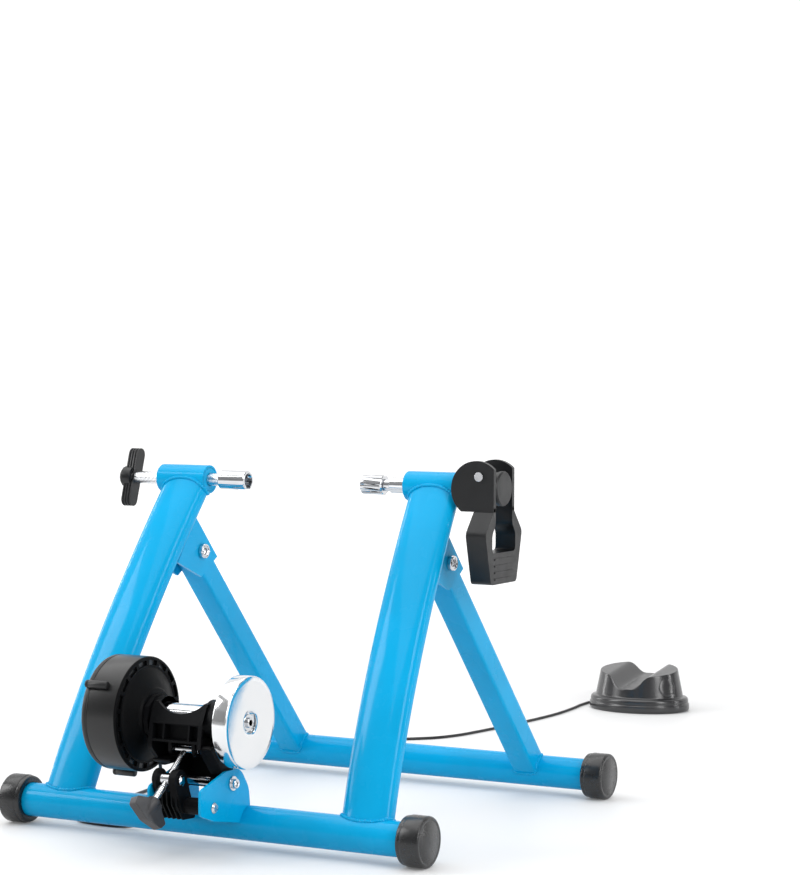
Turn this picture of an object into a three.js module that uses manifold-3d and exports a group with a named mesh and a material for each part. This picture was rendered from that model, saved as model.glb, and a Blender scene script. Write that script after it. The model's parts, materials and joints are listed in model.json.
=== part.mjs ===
// Folding bike trainer that holds a bicycle by its rear axle, with its magnetic resistance unit,
// the block for the front wheel and the remote for the handlebar.
// Millimetres. X is the rider's right, Y is forwards, Z is up, and the floor is Z = 0.
import * as THREE from 'three';
import { mergeVertices } from 'three/addons/utils/BufferGeometryUtils.js';
import ManifoldModule from 'manifold-3d';

const library = await ManifoldModule();
library.setup();

// Clearances that every piece shares
const gap = 0.3;
const slack = 0.1;
const overrun = 5;

// Base tubes and their rubber caps
const baseLength = 543;
const tubeDiameter = 38;
const tubeWall = 2;
const capDiameter = 55;
const capLength = 28;
const capEndWall = 3;
const capChamfer = 2.5;
const capGroove = 0.8;
const rearReach = 212;
const frontReach = 251;

// Main legs, flat-oval tube
const axleHeight = 387;
const legInset = 76.5;
const legLean = 28;
const legWidth = 60;
const legDepth = 30;
const legWall = 1.5;
const legBaseLeanShare = 0.405;
const legTopLeanShare = 0.75;

// Axle barrels on top of the legs
const barrelDiameter = 34;
const barrelWall = 3;
const leftBarrelInboard = 28;
const leftBarrelOutboard = 38;
const rightBarrelInboard = 36;
const rightBarrelOutboard = 49;

// Folding front legs, their brackets and bolts
const hingeDrop = 86;
const hingeSetback = 2;
const frontLegSize = 30;
const frontLegWall = 1.5;
const frontLegCorner = 4;
const bracketPlate = 3;
const bracketReach = 29;
const bracketTip = 21.5;
const bracketTail = 22;
const bracketHeel = 46;
const bracketRise = 42;
const bracketHeelRise = 30;
const legBehindShares = [0, 0.5, 1, 1.5];
const hingeBoltDiameter = 10;
const hingeHeadDiameter = 21;
const hingeHeadHeight = 6;
const hingeNutAcross = 17;
const hingeNutHeight = 7;

// Left clamp: knob, screw and cup
const leftCupStandoff = 54;
const leftCupLength = 37;
const cupDiameter = 23;
const cupSocketDiameter = 17;
const cupSocketDepth = 20;
const cupSlotWidth = 9;
const cupSlotLength = 15;
const cupChamfer = 1;
const spigotDiameter = 8;
const spigotLength = 10;
const screwDiameter = 15;
const knobStandoff = 50;
const knobSpan = 72;
const knobWingWidth = 16;
const knobWingDepth = 13;
const knobHubDiameter = 26;
const knobHubDepth = 15;
const knobStep = 6;
const knobBoreDepth = 9;
const knobRibDepth = 1;
const knobTilt = 17;

// Right clamp: cup, spindle, spring, cam, head and lever
const rightCupStandoff = 59;
const rightCupLength = 28;
const rightSocketDepth = 15;
const fluteDiameter = 3.4;
const spindleNeckDiameter = 14;
const spindleNeckLength = 9;
const spindleDiameter = 18;
const spindleFlangeDiameter = 27;
const spindleFlangeWidth = 5;
const guideBushLength = 10;
const springWire = 2;
const springClearance = 1.4;
const headStandoff = 36.8;
const headDiameter = 39.7;
const headWall = 2.55;
const headEndWall = 4.8;
const headLap = 10;
const headChamfer = 1.5;
const leverPinStandoff = 18;
const leverPinRise = 13.9;
const leverPinDiameter = 8;
const leverPinHeadDiameter = 10.6;
const leverPinHeadHeight = 2.4;
const camWidth = 12;
const camReach = 12.5;
const camThrow = 7;
const camThrowDegrees = 100;
const cheekThickness = 5.5;
const cheekClearance = 0.65;
const cheekRadius = 31.5;
const cheekCentreInset = 22;
const cheekDrop = 25.3;
const leverFaceStandoff = 36;
const leverDepth = 25;
const leverShoulderHalf = 46;
const leverShoulderDrop = 49;
const leverEndHalf = 32;
const leverEndDrop = 106;
const leverCorner = 6;
const windowHalf = 29;
const windowBendDrop = 40;
const windowWideDrop = 50;
const windowEndDrop = 71;
const gripRibs = 4;
const gripRibPitch = 7.4;
const gripRibHeight = 2.4;
const gripRibProud = 0.8;
const leverShell = 4;

// Resistance unit: pivot on the rear tube, roller, flywheel and drum
const pivotSetback = 35;
const pivotRise = 48.5;
const rollerSetback = 3;
const rollerRise = 67.5;
const pivotBoltDiameter = 10;
const pivotHeadDiameter = 17;
const pivotHeadHeight = 6;
const pivotNutAcross = 16;
const pivotNutHeight = 5.5;
const plateLeftReach = 15;
const plateRightReach = 47;
const plateThickness = 3;
const rollerDiameter = 30;
const rollerLeft = 30.6;
const rollerRight = 24.6;
const shaftDiameter = 10;
const yokeInnerHalf = 25;
const yokeOuterHalf = 30;
const yokeLeftInner = 31;
const yokeLeftOuter = 36;
const yokeSaddleShift = 3.5;
const yokeWall = 4;
const yokeSaddleHalf = 31.5;
const yokeSaddleDepth = 14;
const yokeHubStandoff = 2.3;
const yokeHubDiameter = 35;
const yokeFlareDiameter = 55;
const yokeCollarReach = 45.7;
const yokeCollarDiameter = 50;
const yokeNeckDiameter = 44;
const pivotBossDiameter = 23;
const bearingDiameter = 22;
const bearingWidth = 8;
const bearingSeatDepth = 8.6;
const flywheelOuterReach = 75;
const flywheelThickness = 18;
const flywheelDiameter = 100;
const flywheelChamfer = 1.5;
const flywheelDish = 4;
const flywheelRecessDiameter = 20;
const flywheelRecessDepth = 4;
const flywheelBoltAcross = 12;
const flywheelBoltDiameter = 6;
const flywheelBoltLength = 14;
const drumInnerReach = 57;
const drumSeamReach = 96;
const drumOuterReach = 103;
const drumDiameter = 126;
const drumShell = 3;
const drumRise = 11;
const drumRimWidth = 10;
const drumHubDiameter = 58;
const ventCount = 18;
const ventLength = 13;
const ventHeight = 6;
const ventDepth = 16;
const bossDiameter = 9;
const bossLength = 24;
const bossAnglesDegrees = [146, 268, 30];
const rotorDiameter = 108;
const rotorThickness = 4;
const rotorHubDiameter = 24;
const rotorHubLength = 10;
const magnetPlateDiameter = 100;
const magnetPlateThickness = 3.4;
const magnetCount = 6;
const magnetDiameter = 16;
const magnetThickness = 3;
const magnetSpigotDiameter = 16;
const magnetSpigotLength = 8;
const glandReach = 85;
const glandLength = 16;
const glandBaseDiameter = 11;
const glandTipDiameter = 6;
const glandAngleDegrees = -45;

// Tension screw between the rear tube and the unit
const crossPinSetback = 16;
const crossPinRise = 35;
const crossPinDiameter = 7.6;
const crossPinHalf = 18.5;
const lugInnerHalf = 13;
const lugThickness = 4;
const trunnionSetback = 50;
const trunnionRise = 8;
const trunnionDiameter = 13;
const trunnionHalf = 7.7;
const trunnionPinDiameter = 8;
const trunnionPinLeft = 12.6;
const trunnionPinRight = 17.2;
const trunnionHeadDiameter = 12;
const trunnionHeadHeight = 3;
const tensionScrewDiameter = 8;
const tensionTipClearance = 0.8;
const handleStart = 31;
const handleHubLength = 6;
const handleHubDiameter = 16;
const handleBoreDepth = 10;
const handleSpan = 46;
const handleWingDepth = 21;
const handleWingWidth = 11;
const handleTurnDegrees = 67.5;
const earInnerHalf = 8;
const earLeftHalf = 13;
const earRightHalf = 17;
const earRadius = 11;
const ribCount = 5;
const ribThickness = 1.8;
const baseScrewSetback = 71;
const baseScrewRise = 27.5;
const baseScrewDiameter = 8;
const baseScrewHeadDiameter = 12;
const baseScrewHeadHeight = 2.4;
const baseBossDiameter = 18;

// Front wheel block
const wheelbase = 978.5;
const blockLength = 155;
const blockDepth = 120;
const blockHeight = 68;
const blockLip = 21;
const blockLipInset = 10;
const blockTopInset = 19;
const blockEdge = 3;
const blockShell = 5;
const valleyHeight = 42;
const valleyHalf = 8;
const humpHeight = 62;
const humpHalf = 36;
const humpSlopeDegrees = 5;

// Handlebar remote, lying on its back behind the block
const remoteX = -76;
const remoteY = 1086;
const remoteTurnDegrees = 28.6;
const remoteWidth = 52;
const remoteHeight = 42;
const remoteDepth = 34;
const remoteCorner = 8;
const remoteKnobDiameter = 40;
const remoteKnobDepth = 14;
const remoteKnobWave = 1.6;
const remoteKnobLobes = 6;
const remoteSpigotDiameter = 12;
const remoteSpigotLength = 6;
const barDiameter = 32;
const strapThickness = 4;
const strapWidth = 20;
const strapPadHeight = 4;
const knuckleDiameter = 9;
const knucklePinDiameter = 3.4;
const remoteLeverLength = 30;
const remoteLeverWidth = 10;
const remoteGlandLength = 8;
const remoteGlandRise = 8;
const remoteGlandDiameter = 7;

// Cable from the drum to the remote
const cableDiameter = 4;
const cableSteps = 72;
const coilX = 2;
const coilY = 1072;
const coilOuterRadius = 27.5;
const coilPitch = 4.6;
const coilLayerRise = 4.5;
const coilLayerTurns = 1.75;
const coilTurnSteps = 20;
const tailSteps = 10;
const knobWaveSteps = 48;
const tailBend = 12;
const tailBendShares = [0, 0.33, 0.67, 1];
const coilDip = 0.9;
const floorLift = 2.1;

// Facets
const legSteps = 10;
const wideSides = 36;
const roundSides = 24;
const smallSides = 16;
const fineSides = 12;
const cableSides = 6;

// Worked out from the sizes above
const tubeRadius = tubeDiameter / 2;
const tubeHeight = capDiameter / 2;
const barrelRadius = barrelDiameter / 2;
const hingeY = -hingeSetback;
const hingeHeight = axleHeight - hingeDrop;
const pivotY = -rearReach - pivotSetback;
const pivotHeight = tubeHeight + pivotRise;
const rollerY = pivotY - rollerSetback;
const rollerHeight = pivotHeight + rollerRise;
const trunnionY = pivotY - trunnionSetback;
const trunnionHeight = pivotHeight + trunnionRise;
const legBaseSpread = baseLength / 2 - legInset;
const legTopSpread = legBaseSpread - legLean;
const leftBarrelIn = legTopSpread - leftBarrelInboard;
const leftBarrelOut = legTopSpread + leftBarrelOutboard;
const rightBarrelIn = legTopSpread - rightBarrelInboard;
const rightBarrelOut = legTopSpread + rightBarrelOutboard;
const flywheelInnerReach = flywheelOuterReach - flywheelThickness;
const yokeHubReach = flywheelInnerReach - yokeHubStandoff;
const knobReach = leftBarrelOut + knobStandoff;
const leftCupReach = leftBarrelIn - leftCupStandoff;
const rightCupReach = rightBarrelIn - rightCupStandoff;
const headReach = rightBarrelOut + headStandoff;
const leverPinReach = rightBarrelOut + leverPinStandoff;
const leverFaceReach = rightBarrelOut + leverFaceStandoff;

// Paints and metals
const bluePaint = new THREE.MeshStandardMaterial({ color: 0x169fe0, roughness: 0.28, metalness: 0.1 });
const blackPlastic = new THREE.MeshStandardMaterial({ color: 0x232427, roughness: 0.55, metalness: 0 });
const greyPlastic = new THREE.MeshStandardMaterial({ color: 0x4a4c50, roughness: 0.5, metalness: 0 });
const rubber = new THREE.MeshStandardMaterial({ color: 0x3a3b3d, roughness: 0.75, metalness: 0 });
const chrome = new THREE.MeshStandardMaterial({ color: 0xe4e7ea, roughness: 0.12, metalness: 1 });
const steel = new THREE.MeshStandardMaterial({ color: 0xb4b8bc, roughness: 0.35, metalness: 1 });
const aluminium = new THREE.MeshStandardMaterial({ color: 0xc9ccd0, roughness: 0.3, metalness: 1 });
const magnetBlack = new THREE.MeshStandardMaterial({ color: 0x303236, roughness: 0.6, metalness: 0.3 });
const cableJacket = new THREE.MeshStandardMaterial({ color: 0x161718, roughness: 0.5, metalness: 0 });

// Axes and angles
const alongX = new THREE.Vector3(1, 0, 0);
const alongY = new THREE.Vector3(0, 1, 0);
const alongZ = new THREE.Vector3(0, 0, 1);
const quarterTurn = Math.PI / 2;
const radians = THREE.MathUtils.degToRad;

// A closed surface becomes a solid, with its faces turned outwards
function solid(geometry) {
  const bare = new THREE.BufferGeometry();
  bare.setAttribute('position', geometry.getAttribute('position'));
  bare.setIndex(geometry.getIndex());
  const merged = mergeVertices(bare);
  const places = merged.getAttribute('position');
  const corners = merged.getIndex().array;
  const a = new THREE.Vector3();
  const b = new THREE.Vector3();
  const c = new THREE.Vector3();
  const kept = [];
  let volume = 0;
  for (let i = 0; i < corners.length; i += 3) {
    const [p, q, r] = corners.slice(i, i + 3);
    if (p === q || q === r || r === p) continue;
    kept.push([p, q, r]);
    a.fromBufferAttribute(places, p);
    b.fromBufferAttribute(places, q);
    c.fromBufferAttribute(places, r);
    volume += a.dot(b.cross(c));
  }
  const outward = volume < 0 ? kept.map(([p, q, r]) => [p, r, q]) : kept;
  return new library.Manifold(new library.Mesh({
    numProp: 3,
    vertProperties: Float32Array.from(places.array),
    triVerts: Uint32Array.from(outward.flat()),
  }));
}

// A solid becomes a named mesh in a group
function piece(home, name, body, material) {
  const { vertProperties, triVerts } = body.getMesh();
  const geometry = new THREE.BufferGeometry();
  geometry.setAttribute('position', new THREE.BufferAttribute(vertProperties, 3));
  geometry.setIndex(new THREE.BufferAttribute(triVerts, 1));
  geometry.computeVertexNormals();
  const mesh = new THREE.Mesh(geometry, material);
  mesh.name = name;
  home.add(mesh);
  return mesh;
}

// Turned pieces: a profile of [radius, place along the axis], about X, Y or Z through (0, 0)
function turnedY(profile, sides = roundSides) {
  return new THREE.LatheGeometry(profile.map(([radius, at]) => new THREE.Vector2(radius, at)), sides);
}

function turned(profile, y = 0, z = 0, sides = roundSides) {
  return solid(turnedY(profile, sides).rotateZ(-quarterTurn).translate(0, y, z));
}

function turnedZ(profile, sides = roundSides) {
  return solid(turnedY(profile, sides).rotateX(quarterTurn));
}

function rodX(radius, from, to, y = 0, z = 0, sides = roundSides) {
  return turned([[0, from], [radius, from], [radius, to], [0, to]], y, z, sides);
}

function rodY(radius, from, to, x, z, sides = roundSides) {
  return solid(turnedY([[0, from], [radius, from], [radius, to], [0, to]], sides).translate(x, 0, z));
}

function ringX(inner, outer, from, to, y = 0, z = 0, sides = roundSides) {
  return turned([[inner, from], [outer, from], [outer, to], [inner, to], [inner, from]], y, z, sides);
}

// Flat pieces: an outline extruded along one axis
function thickened(shape, from, to, curveSegments) {
  const depth = Math.abs(to - from);
  return new THREE.ExtrudeGeometry(shape, { depth, bevelEnabled: false, curveSegments });
}

function plateX(shape, from, to, curveSegments = 6) {
  const plate = thickened(shape, from, to, curveSegments);
  plate.applyMatrix4(new THREE.Matrix4().makeBasis(alongY, alongZ, alongX));
  return solid(plate.translate(Math.min(from, to), 0, 0));
}

function plateY(shape, from, to, curveSegments = 6) {
  const plate = thickened(shape, from, to, curveSegments);
  plate.applyMatrix4(new THREE.Matrix4().makeBasis(alongX, alongZ, alongY.clone().negate()));
  return solid(plate.translate(0, Math.max(from, to), 0));
}

function plateZ(shape, from, to, curveSegments = 6) {
  const plate = thickened(shape, from, to, curveSegments);
  return solid(plate.translate(0, 0, Math.min(from, to)));
}

function block(x0, x1, y0, y1, z0, z1) {
  const box = new THREE.BoxGeometry(Math.abs(x1 - x0), Math.abs(y1 - y0), Math.abs(z1 - z0));
  return solid(box.translate((x0 + x1) / 2, (y0 + y1) / 2, (z0 + z1) / 2));
}

function joined(solids) {
  return solids.reduce((whole, next) => whole.add(next));
}

// Outlines
function polygon(points) {
  return new THREE.Shape(points.map(([x, y]) => new THREE.Vector2(x, y)));
}

// A polygon whose corners are rounded by the third value of each point
function rounded(points) {
  const shape = new THREE.Shape();
  points.forEach(([x, y, radius = 0], index) => {
    const corner = new THREE.Vector2(x, y);
    const before = points[(index + points.length - 1) % points.length];
    const after = points[(index + 1) % points.length];
    const back = new THREE.Vector2(before[0] - x, before[1] - y).normalize();
    const ahead = new THREE.Vector2(after[0] - x, after[1] - y).normalize();
    const trim = radius / Math.tan(back.angleTo(ahead) / 2);
    const enter = back.multiplyScalar(trim).add(corner);
    const leave = ahead.multiplyScalar(trim).add(corner);
    if (index === 0) shape.moveTo(enter.x, enter.y);
    else shape.lineTo(enter.x, enter.y);
    if (radius > 0) shape.quadraticCurveTo(corner.x, corner.y, leave.x, leave.y);
  });
  return shape;
}

// A bar with round ends between two points
function bar([x0, y0], [x1, y1], radius) {
  const lean = Math.atan2(y1 - y0, x1 - x0);
  const shape = new THREE.Shape();
  shape.absarc(x1, y1, radius, lean - quarterTurn, lean + quarterTurn);
  shape.absarc(x0, y0, radius, lean + quarterTurn, lean + 3 * quarterTurn);
  return shape;
}

function hexagon(across) {
  const radius = across / Math.sqrt(3);
  return polygon(Array.from({ length: 6 }, (_, i) => [
    radius * Math.cos(i * Math.PI / 3),
    radius * Math.sin(i * Math.PI / 3),
  ]));
}

const trainer = new THREE.Group();

// Base tubes, open at both ends under their caps
function baseTube(home, name, y) {
  const end = baseLength / 2 - capEndWall - gap;
  piece(home, name, ringX(tubeRadius - tubeWall, tubeRadius, -end, end, y, tubeHeight), bluePaint);
}

// Rubber cap: a chamfered cup over the tube's end, with four grip grooves along its rim
function baseCap(home, name, side, y) {
  const radius = capDiameter / 2;
  const at = (depth) => side * (baseLength / 2 - depth);
  const bore = tubeRadius + gap;
  const profile = [
    [0, at(0)], [radius - capChamfer, at(0)], [radius, at(capChamfer)],
    [radius, at(capLength - capChamfer)], [radius - capGroove, at(capLength)],
    [bore, at(capLength)], [bore, at(capEndWall)], [0, at(capEndWall)],
  ];
  let cap = turned(profile, y, tubeHeight);
  for (const degrees of [-38, 38, 142, 218]) {
    const groove = new THREE.BoxGeometry(capLength * 2, capGroove * 2, capGroove * 2);
    groove.translate(at(0), radius, 0).rotateX(radians(degrees)).translate(0, y, tubeHeight);
    cap = cap.subtract(solid(groove));
  }
  piece(home, name, cap, rubber);
}

baseTube(trainer, 'rear_base_tube', -rearReach);
baseTube(trainer, 'front_base_tube', frontReach);
for (const [side, word] of [[-1, 'left'], [1, 'right']]) {
  baseCap(trainer, `rear_cap_${word}`, side, -rearReach);
  baseCap(trainer, `front_cap_${word}`, side, frontReach);
}

// Main leg: a flat-oval tube along one bend, coped over the base tube and under the barrel
function legPath(side) {
  const rise = axleHeight - tubeHeight;
  const bendRise = (rearReach - legTopLeanShare * rise) / (legBaseLeanShare - legTopLeanShare);
  const bendSpread = THREE.MathUtils.lerp(legBaseSpread, legTopSpread, bendRise / rise);
  return new THREE.QuadraticBezierCurve3(
    new THREE.Vector3(side * legBaseSpread, -rearReach, tubeHeight),
    new THREE.Vector3(side * bendSpread, legBaseLeanShare * bendRise - rearReach, tubeHeight + bendRise),
    new THREE.Vector3(side * legTopSpread, 0, axleHeight),
  );
}

function legSection(grow) {
  const flat = (legWidth - legDepth) / 2;
  return bar([-flat, 0], [flat, 0], legDepth / 2 + grow);
}

function legGeometry(side, grow, hollow) {
  const section = legSection(grow);
  if (hollow) section.holes.push(legSection(-legWall));
  return new THREE.ExtrudeGeometry(section, {
    steps: legSteps, extrudePath: legPath(side), bevelEnabled: false, curveSegments: 4,
  });
}

for (const [side, word] of [[-1, 'left'], [1, 'right']]) {
  const base = [side * (legBaseSpread - legWidth), side * (legBaseSpread + legWidth)];
  const top = [side * (legTopSpread - legWidth), side * (legTopSpread + legWidth)];
  const leg = solid(legGeometry(side, 0, true))
    .subtract(rodX(tubeRadius + gap, ...base, -rearReach, tubeHeight))
    .subtract(rodX(barrelRadius + gap, ...top, 0, axleHeight));
  piece(trainer, `main_leg_${word}`, leg, bluePaint);
}

// Axle line: barrels, bushes, clamps, all about X at the axle's height
const axle = new THREE.Group();
axle.position.z = axleHeight;
trainer.add(axle);
const barrelBore = barrelRadius - barrelWall;

piece(axle, 'axle_barrel_left', ringX(barrelBore, barrelRadius, -leftBarrelOut, -leftBarrelIn), bluePaint);
piece(axle, 'axle_barrel_right', ringX(barrelBore, barrelRadius, rightBarrelIn, rightBarrelOut), bluePaint);

// Left clamp
const screwRadius = screwDiameter / 2;
const cupRadius = cupDiameter / 2;
const cupSocket = cupSocketDiameter / 2;
const spigotRadius = spigotDiameter / 2;
const leftCupBack = leftCupReach + leftCupLength;

piece(axle, 'screw_bush',
  ringX(screwRadius + gap, barrelBore - gap, -leftBarrelOut, -leftBarrelIn), steel);

piece(axle, 'adjust_screw', turned([
  [0, -leftCupBack + spigotLength - gap], [spigotRadius, -leftCupBack + spigotLength - gap],
  [spigotRadius, -leftCupBack - gap], [screwRadius - cupChamfer, -leftCupBack - gap],
  [screwRadius, -leftCupBack - gap - cupChamfer],
  [screwRadius, -knobReach + gap], [0, -knobReach + gap],
]), chrome);

const leftCup = turned([
  [0, -leftCupBack + spigotLength], [spigotRadius + gap, -leftCupBack + spigotLength],
  [spigotRadius + gap, -leftCupBack], [cupRadius - cupChamfer, -leftCupBack],
  [cupRadius, -leftCupBack + cupChamfer], [cupRadius, -leftCupReach - cupChamfer],
  [cupRadius - cupChamfer, -leftCupReach], [cupSocket, -leftCupReach],
  [cupSocket, -leftCupReach - cupSocketDepth], [0, -leftCupReach - cupSocketDepth],
]);
const cupSlot = block(-leftCupReach - cupSlotLength, -leftCupReach + overrun,
  -cupSlotWidth / 2, cupSlotWidth / 2, -cupDiameter, 0);
piece(axle, 'left_cup', leftCup.subtract(cupSlot), chrome);

// Knob: a round hub and two ribbed wings set inboard of it
function knobBody() {
  const half = knobSpan / 2 - knobWingWidth / 2;
  const wingFrom = -knobReach - knobHubDepth / 2 + knobStep;
  const layers = 7;
  const layer = knobWingDepth / layers;
  const parts = Array.from({ length: layers }, (_, i) => {
    const inset = i % 2 === 1 ? knobRibDepth : 0;
    const shape = bar([0, -half], [0, half], knobWingWidth / 2 - inset);
    return plateX(shape, wingFrom + i * layer, wingFrom + (i + 1) * layer, 4);
  });
  const hubFrom = -knobReach - knobHubDepth / 2;
  const hubRadius = knobHubDiameter / 2;
  parts.push(turned([
    [0, hubFrom], [hubRadius - capChamfer, hubFrom], [hubRadius, hubFrom + capChamfer],
    [hubRadius, hubFrom + knobHubDepth], [0, hubFrom + knobHubDepth],
  ], 0, 0, smallSides));
  const bore = rodX(screwRadius + gap, -knobReach, -knobReach + knobHubDepth + overrun);
  return joined(parts).subtract(bore);
}

const knob = piece(axle, 'adjust_knob', knobBody(), blackPlastic);
knob.rotation.x = radians(-knobTilt);

// Right clamp
const spindleRadius = spindleDiameter / 2;
const neckRadius = spindleNeckDiameter / 2;
const flangeRadius = spindleFlangeDiameter / 2;
const rightCupBack = rightCupReach + rightCupLength;
const camFace = leverPinReach - camReach - gap;
const flangeBack = camFace - spindleFlangeWidth;

let rightCup = turned([
  [0, rightCupBack - spigotLength], [spigotRadius + gap, rightCupBack - spigotLength],
  [spigotRadius + gap, rightCupBack], [cupRadius - cupChamfer, rightCupBack],
  [cupRadius, rightCupBack - cupChamfer], [cupRadius, rightCupReach + cupChamfer],
  [cupRadius - cupChamfer, rightCupReach], [cupSocket, rightCupReach],
  [cupSocket, rightCupReach + rightSocketDepth], [0, rightCupReach + rightSocketDepth],
]);
for (let i = 0; i < 8; i += 1) {
  const flute = new THREE.CylinderGeometry(fluteDiameter / 2, fluteDiameter / 2, rightCupLength * 2, 8);
  flute.rotateZ(quarterTurn).translate(rightCupReach, cupRadius + slack, 0).rotateX(i * Math.PI / 4);
  rightCup = rightCup.subtract(solid(flute));
}
piece(axle, 'right_cup', rightCup, chrome);

piece(axle, 'clamp_spindle', turned([
  [0, rightCupBack - spigotLength + gap], [spigotRadius, rightCupBack - spigotLength + gap],
  [spigotRadius, rightCupBack + gap], [neckRadius, rightCupBack + gap],
  [neckRadius, rightCupBack + gap + spindleNeckLength], [spindleRadius, rightCupBack + gap + spindleNeckLength],
  [spindleRadius, flangeBack], [flangeRadius, flangeBack], [flangeRadius, camFace], [0, camFace],
]), chrome);

piece(axle, 'guide_bush', ringX(spindleRadius + gap, barrelBore - gap,
  rightBarrelIn, rightBarrelIn + guideBushLength), steel);

// Return spring round the spindle, wound from a helix
class HelixAlongX extends THREE.Curve {
  constructor(from, to, radius, turns) {
    super();
    Object.assign(this, { from, to, radius, turns });
  }

  getPoint(t, target = new THREE.Vector3()) {
    const angle = 2 * Math.PI * this.turns * t;
    return target.set(
      THREE.MathUtils.lerp(this.from, this.to, t),
      this.radius * Math.cos(angle),
      this.radius * Math.sin(angle),
    );
  }
}

function ringShape(radius, sides, turn = 0) {
  return polygon(Array.from({ length: sides }, (_, i) => [
    radius * Math.cos(turn + 2 * Math.PI * i / sides),
    radius * Math.sin(turn + 2 * Math.PI * i / sides),
  ]));
}

const springRadius = spindleRadius + springClearance + springWire / 2;
const springFrom = rightBarrelIn + guideBushLength + springWire / 2 + gap;
const springTo = flangeBack - springWire / 2 - gap;
piece(axle, 'return_spring', solid(new THREE.ExtrudeGeometry(ringShape(springWire / 2, 5), {
  steps: 64,
  extrudePath: new HelixAlongX(springFrom, springTo, springRadius, 8),
  bevelEnabled: false,
})), steel);

// Head: a black cap over the barrel's end, slotted for the cam and drilled for the lever's pin
const headRadius = headDiameter / 2;
const headBore = headRadius - headWall;
const pinRadius = leverPinDiameter / 2;
const cheekInner = headRadius + cheekClearance;
const cheekOuter = cheekInner + cheekThickness;
const headShell = turned([
  [0, headReach], [headRadius - headChamfer, headReach], [headRadius, headReach - headChamfer],
  [headRadius, rightBarrelOut - headLap], [headBore, rightBarrelOut - headLap],
  [headBore, headReach - headEndWall], [0, headReach - headEndWall],
]);
const camSlot = block(camFace - gap, headReach - headEndWall - slack,
  -camWidth / 2 - gap, camWidth / 2 + gap, 0, headDiameter);
const pinHole = rodY(pinRadius + gap, -cheekOuter - overrun, cheekOuter + overrun,
  leverPinReach, leverPinRise, smallSides);
piece(axle, 'clamp_head', headShell.subtract(camSlot).subtract(pinHole), blackPlastic);

const pinEnd = cheekOuter + gap;
const pinHead = rodY(leverPinHeadDiameter / 2, -pinEnd - leverPinHeadHeight, -pinEnd,
  leverPinReach, leverPinRise, smallSides);
piece(axle, 'lever_pin', rodY(pinRadius, -pinEnd, pinEnd, leverPinReach, leverPinRise, smallSides)
  .add(pinHead), chrome);

// Cam: its reach falls evenly with the turn of the lever, so the spindle follows at a fixed rate
function camOutline() {
  const working = radians(camThrowDegrees);
  const rate = camThrow / working;
  const rest = 2 * Math.PI - working;
  const reach = (angle) => {
    if (angle <= working) return [camReach - camThrow + rate * angle, rate];
    const t = (angle - working) / rest;
    const h = camReach * (2 * t ** 3 - 3 * t ** 2 + 1) + rate * rest * (t ** 3 - 2 * t ** 2 + t)
      + (camReach - camThrow) * (3 * t ** 2 - 2 * t ** 3) + rate * rest * (t ** 3 - t ** 2);
    const slope = (camReach * (6 * t ** 2 - 6 * t) + (camReach - camThrow) * (6 * t - 6 * t ** 2)) / rest
      + rate * (6 * t ** 2 - 6 * t + 1);
    return [h, slope];
  };
  const points = [];
  const count = 36;
  for (let i = 0; i < count; i += 1) {
    const angle = 2 * Math.PI * i / count;
    const [h, slope] = reach(angle);
    const facing = angle + Math.PI - working;
    points.push([
      leverPinReach + h * Math.cos(facing) - slope * Math.sin(facing),
      leverPinRise + h * Math.sin(facing) + slope * Math.cos(facing),
    ]);
  }
  return polygon(points);
}

piece(axle, 'lever_cam', plateY(camOutline(), -camWidth / 2, camWidth / 2)
  .subtract(rodY(pinRadius + gap, -camWidth, camWidth, leverPinReach, leverPinRise, smallSides)), steel);

// Lever: two round cheeks beside the head, widening to a grip with a window and ribs
function leverBody() {
  const face = leverFaceReach;
  const back = leverFaceReach - leverDepth;
  const cheekX = leverFaceReach - cheekCentreInset;
  const tab = cheekDrop + leverCorner;
  const cheeks = [-1, 1].map((side) => rodY(cheekRadius, side * cheekInner, side * cheekOuter, cheekX, 0)
    .intersect(block(cheekX - cheekRadius, face, -cheekOuter, cheekOuter, -cheekDrop, cheekRadius))
    .add(block(back, face, side * cheekInner, side * cheekOuter, -tab, 0)));
  const grip = plateX(rounded([
    [-cheekOuter, -cheekDrop], [-leverShoulderHalf, -leverShoulderDrop, leverCorner],
    [-leverEndHalf, -leverEndDrop, leverCorner], [leverEndHalf, -leverEndDrop, leverCorner],
    [leverShoulderHalf, -leverShoulderDrop, leverCorner], [cheekOuter, -cheekDrop],
  ]), back, face);
  const opening = plateX(rounded([
    [-cheekInner, 0], [-cheekInner, -windowBendDrop], [-windowHalf, -windowWideDrop, leverCorner],
    [-windowHalf, -windowEndDrop, leverCorner], [windowHalf, -windowEndDrop, leverCorner],
    [windowHalf, -windowWideDrop, leverCorner], [cheekInner, -windowBendDrop], [cheekInner, 0],
  ]), back - overrun, face + overrun);
  const pocketTop = windowEndDrop + leverShell;
  const pocketBottom = leverEndDrop - leverShell;
  const pocket = plateX(polygon([
    [-leverShoulderHalf + 3 * leverShell, -pocketTop], [-leverEndHalf + leverShell, -pocketBottom],
    [leverEndHalf - leverShell, -pocketBottom], [leverShoulderHalf - 3 * leverShell, -pocketTop],
  ]), back - overrun, face - leverShell);
  const ribs = Array.from({ length: gripRibs }, (_, i) => {
    const drop = windowEndDrop + leverCorner + i * gripRibPitch;
    return block(face - leverShell / 2, face + gripRibProud,
      -leverEndHalf + leverCorner, leverEndHalf - leverCorner, -drop - gripRibHeight, -drop);
  });
  return joined([grip.subtract(opening), ...cheeks]).subtract(pocket).add(joined(ribs)).subtract(pinHole);
}

piece(axle, 'clamp_lever', leverBody(), blackPlastic);

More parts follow.
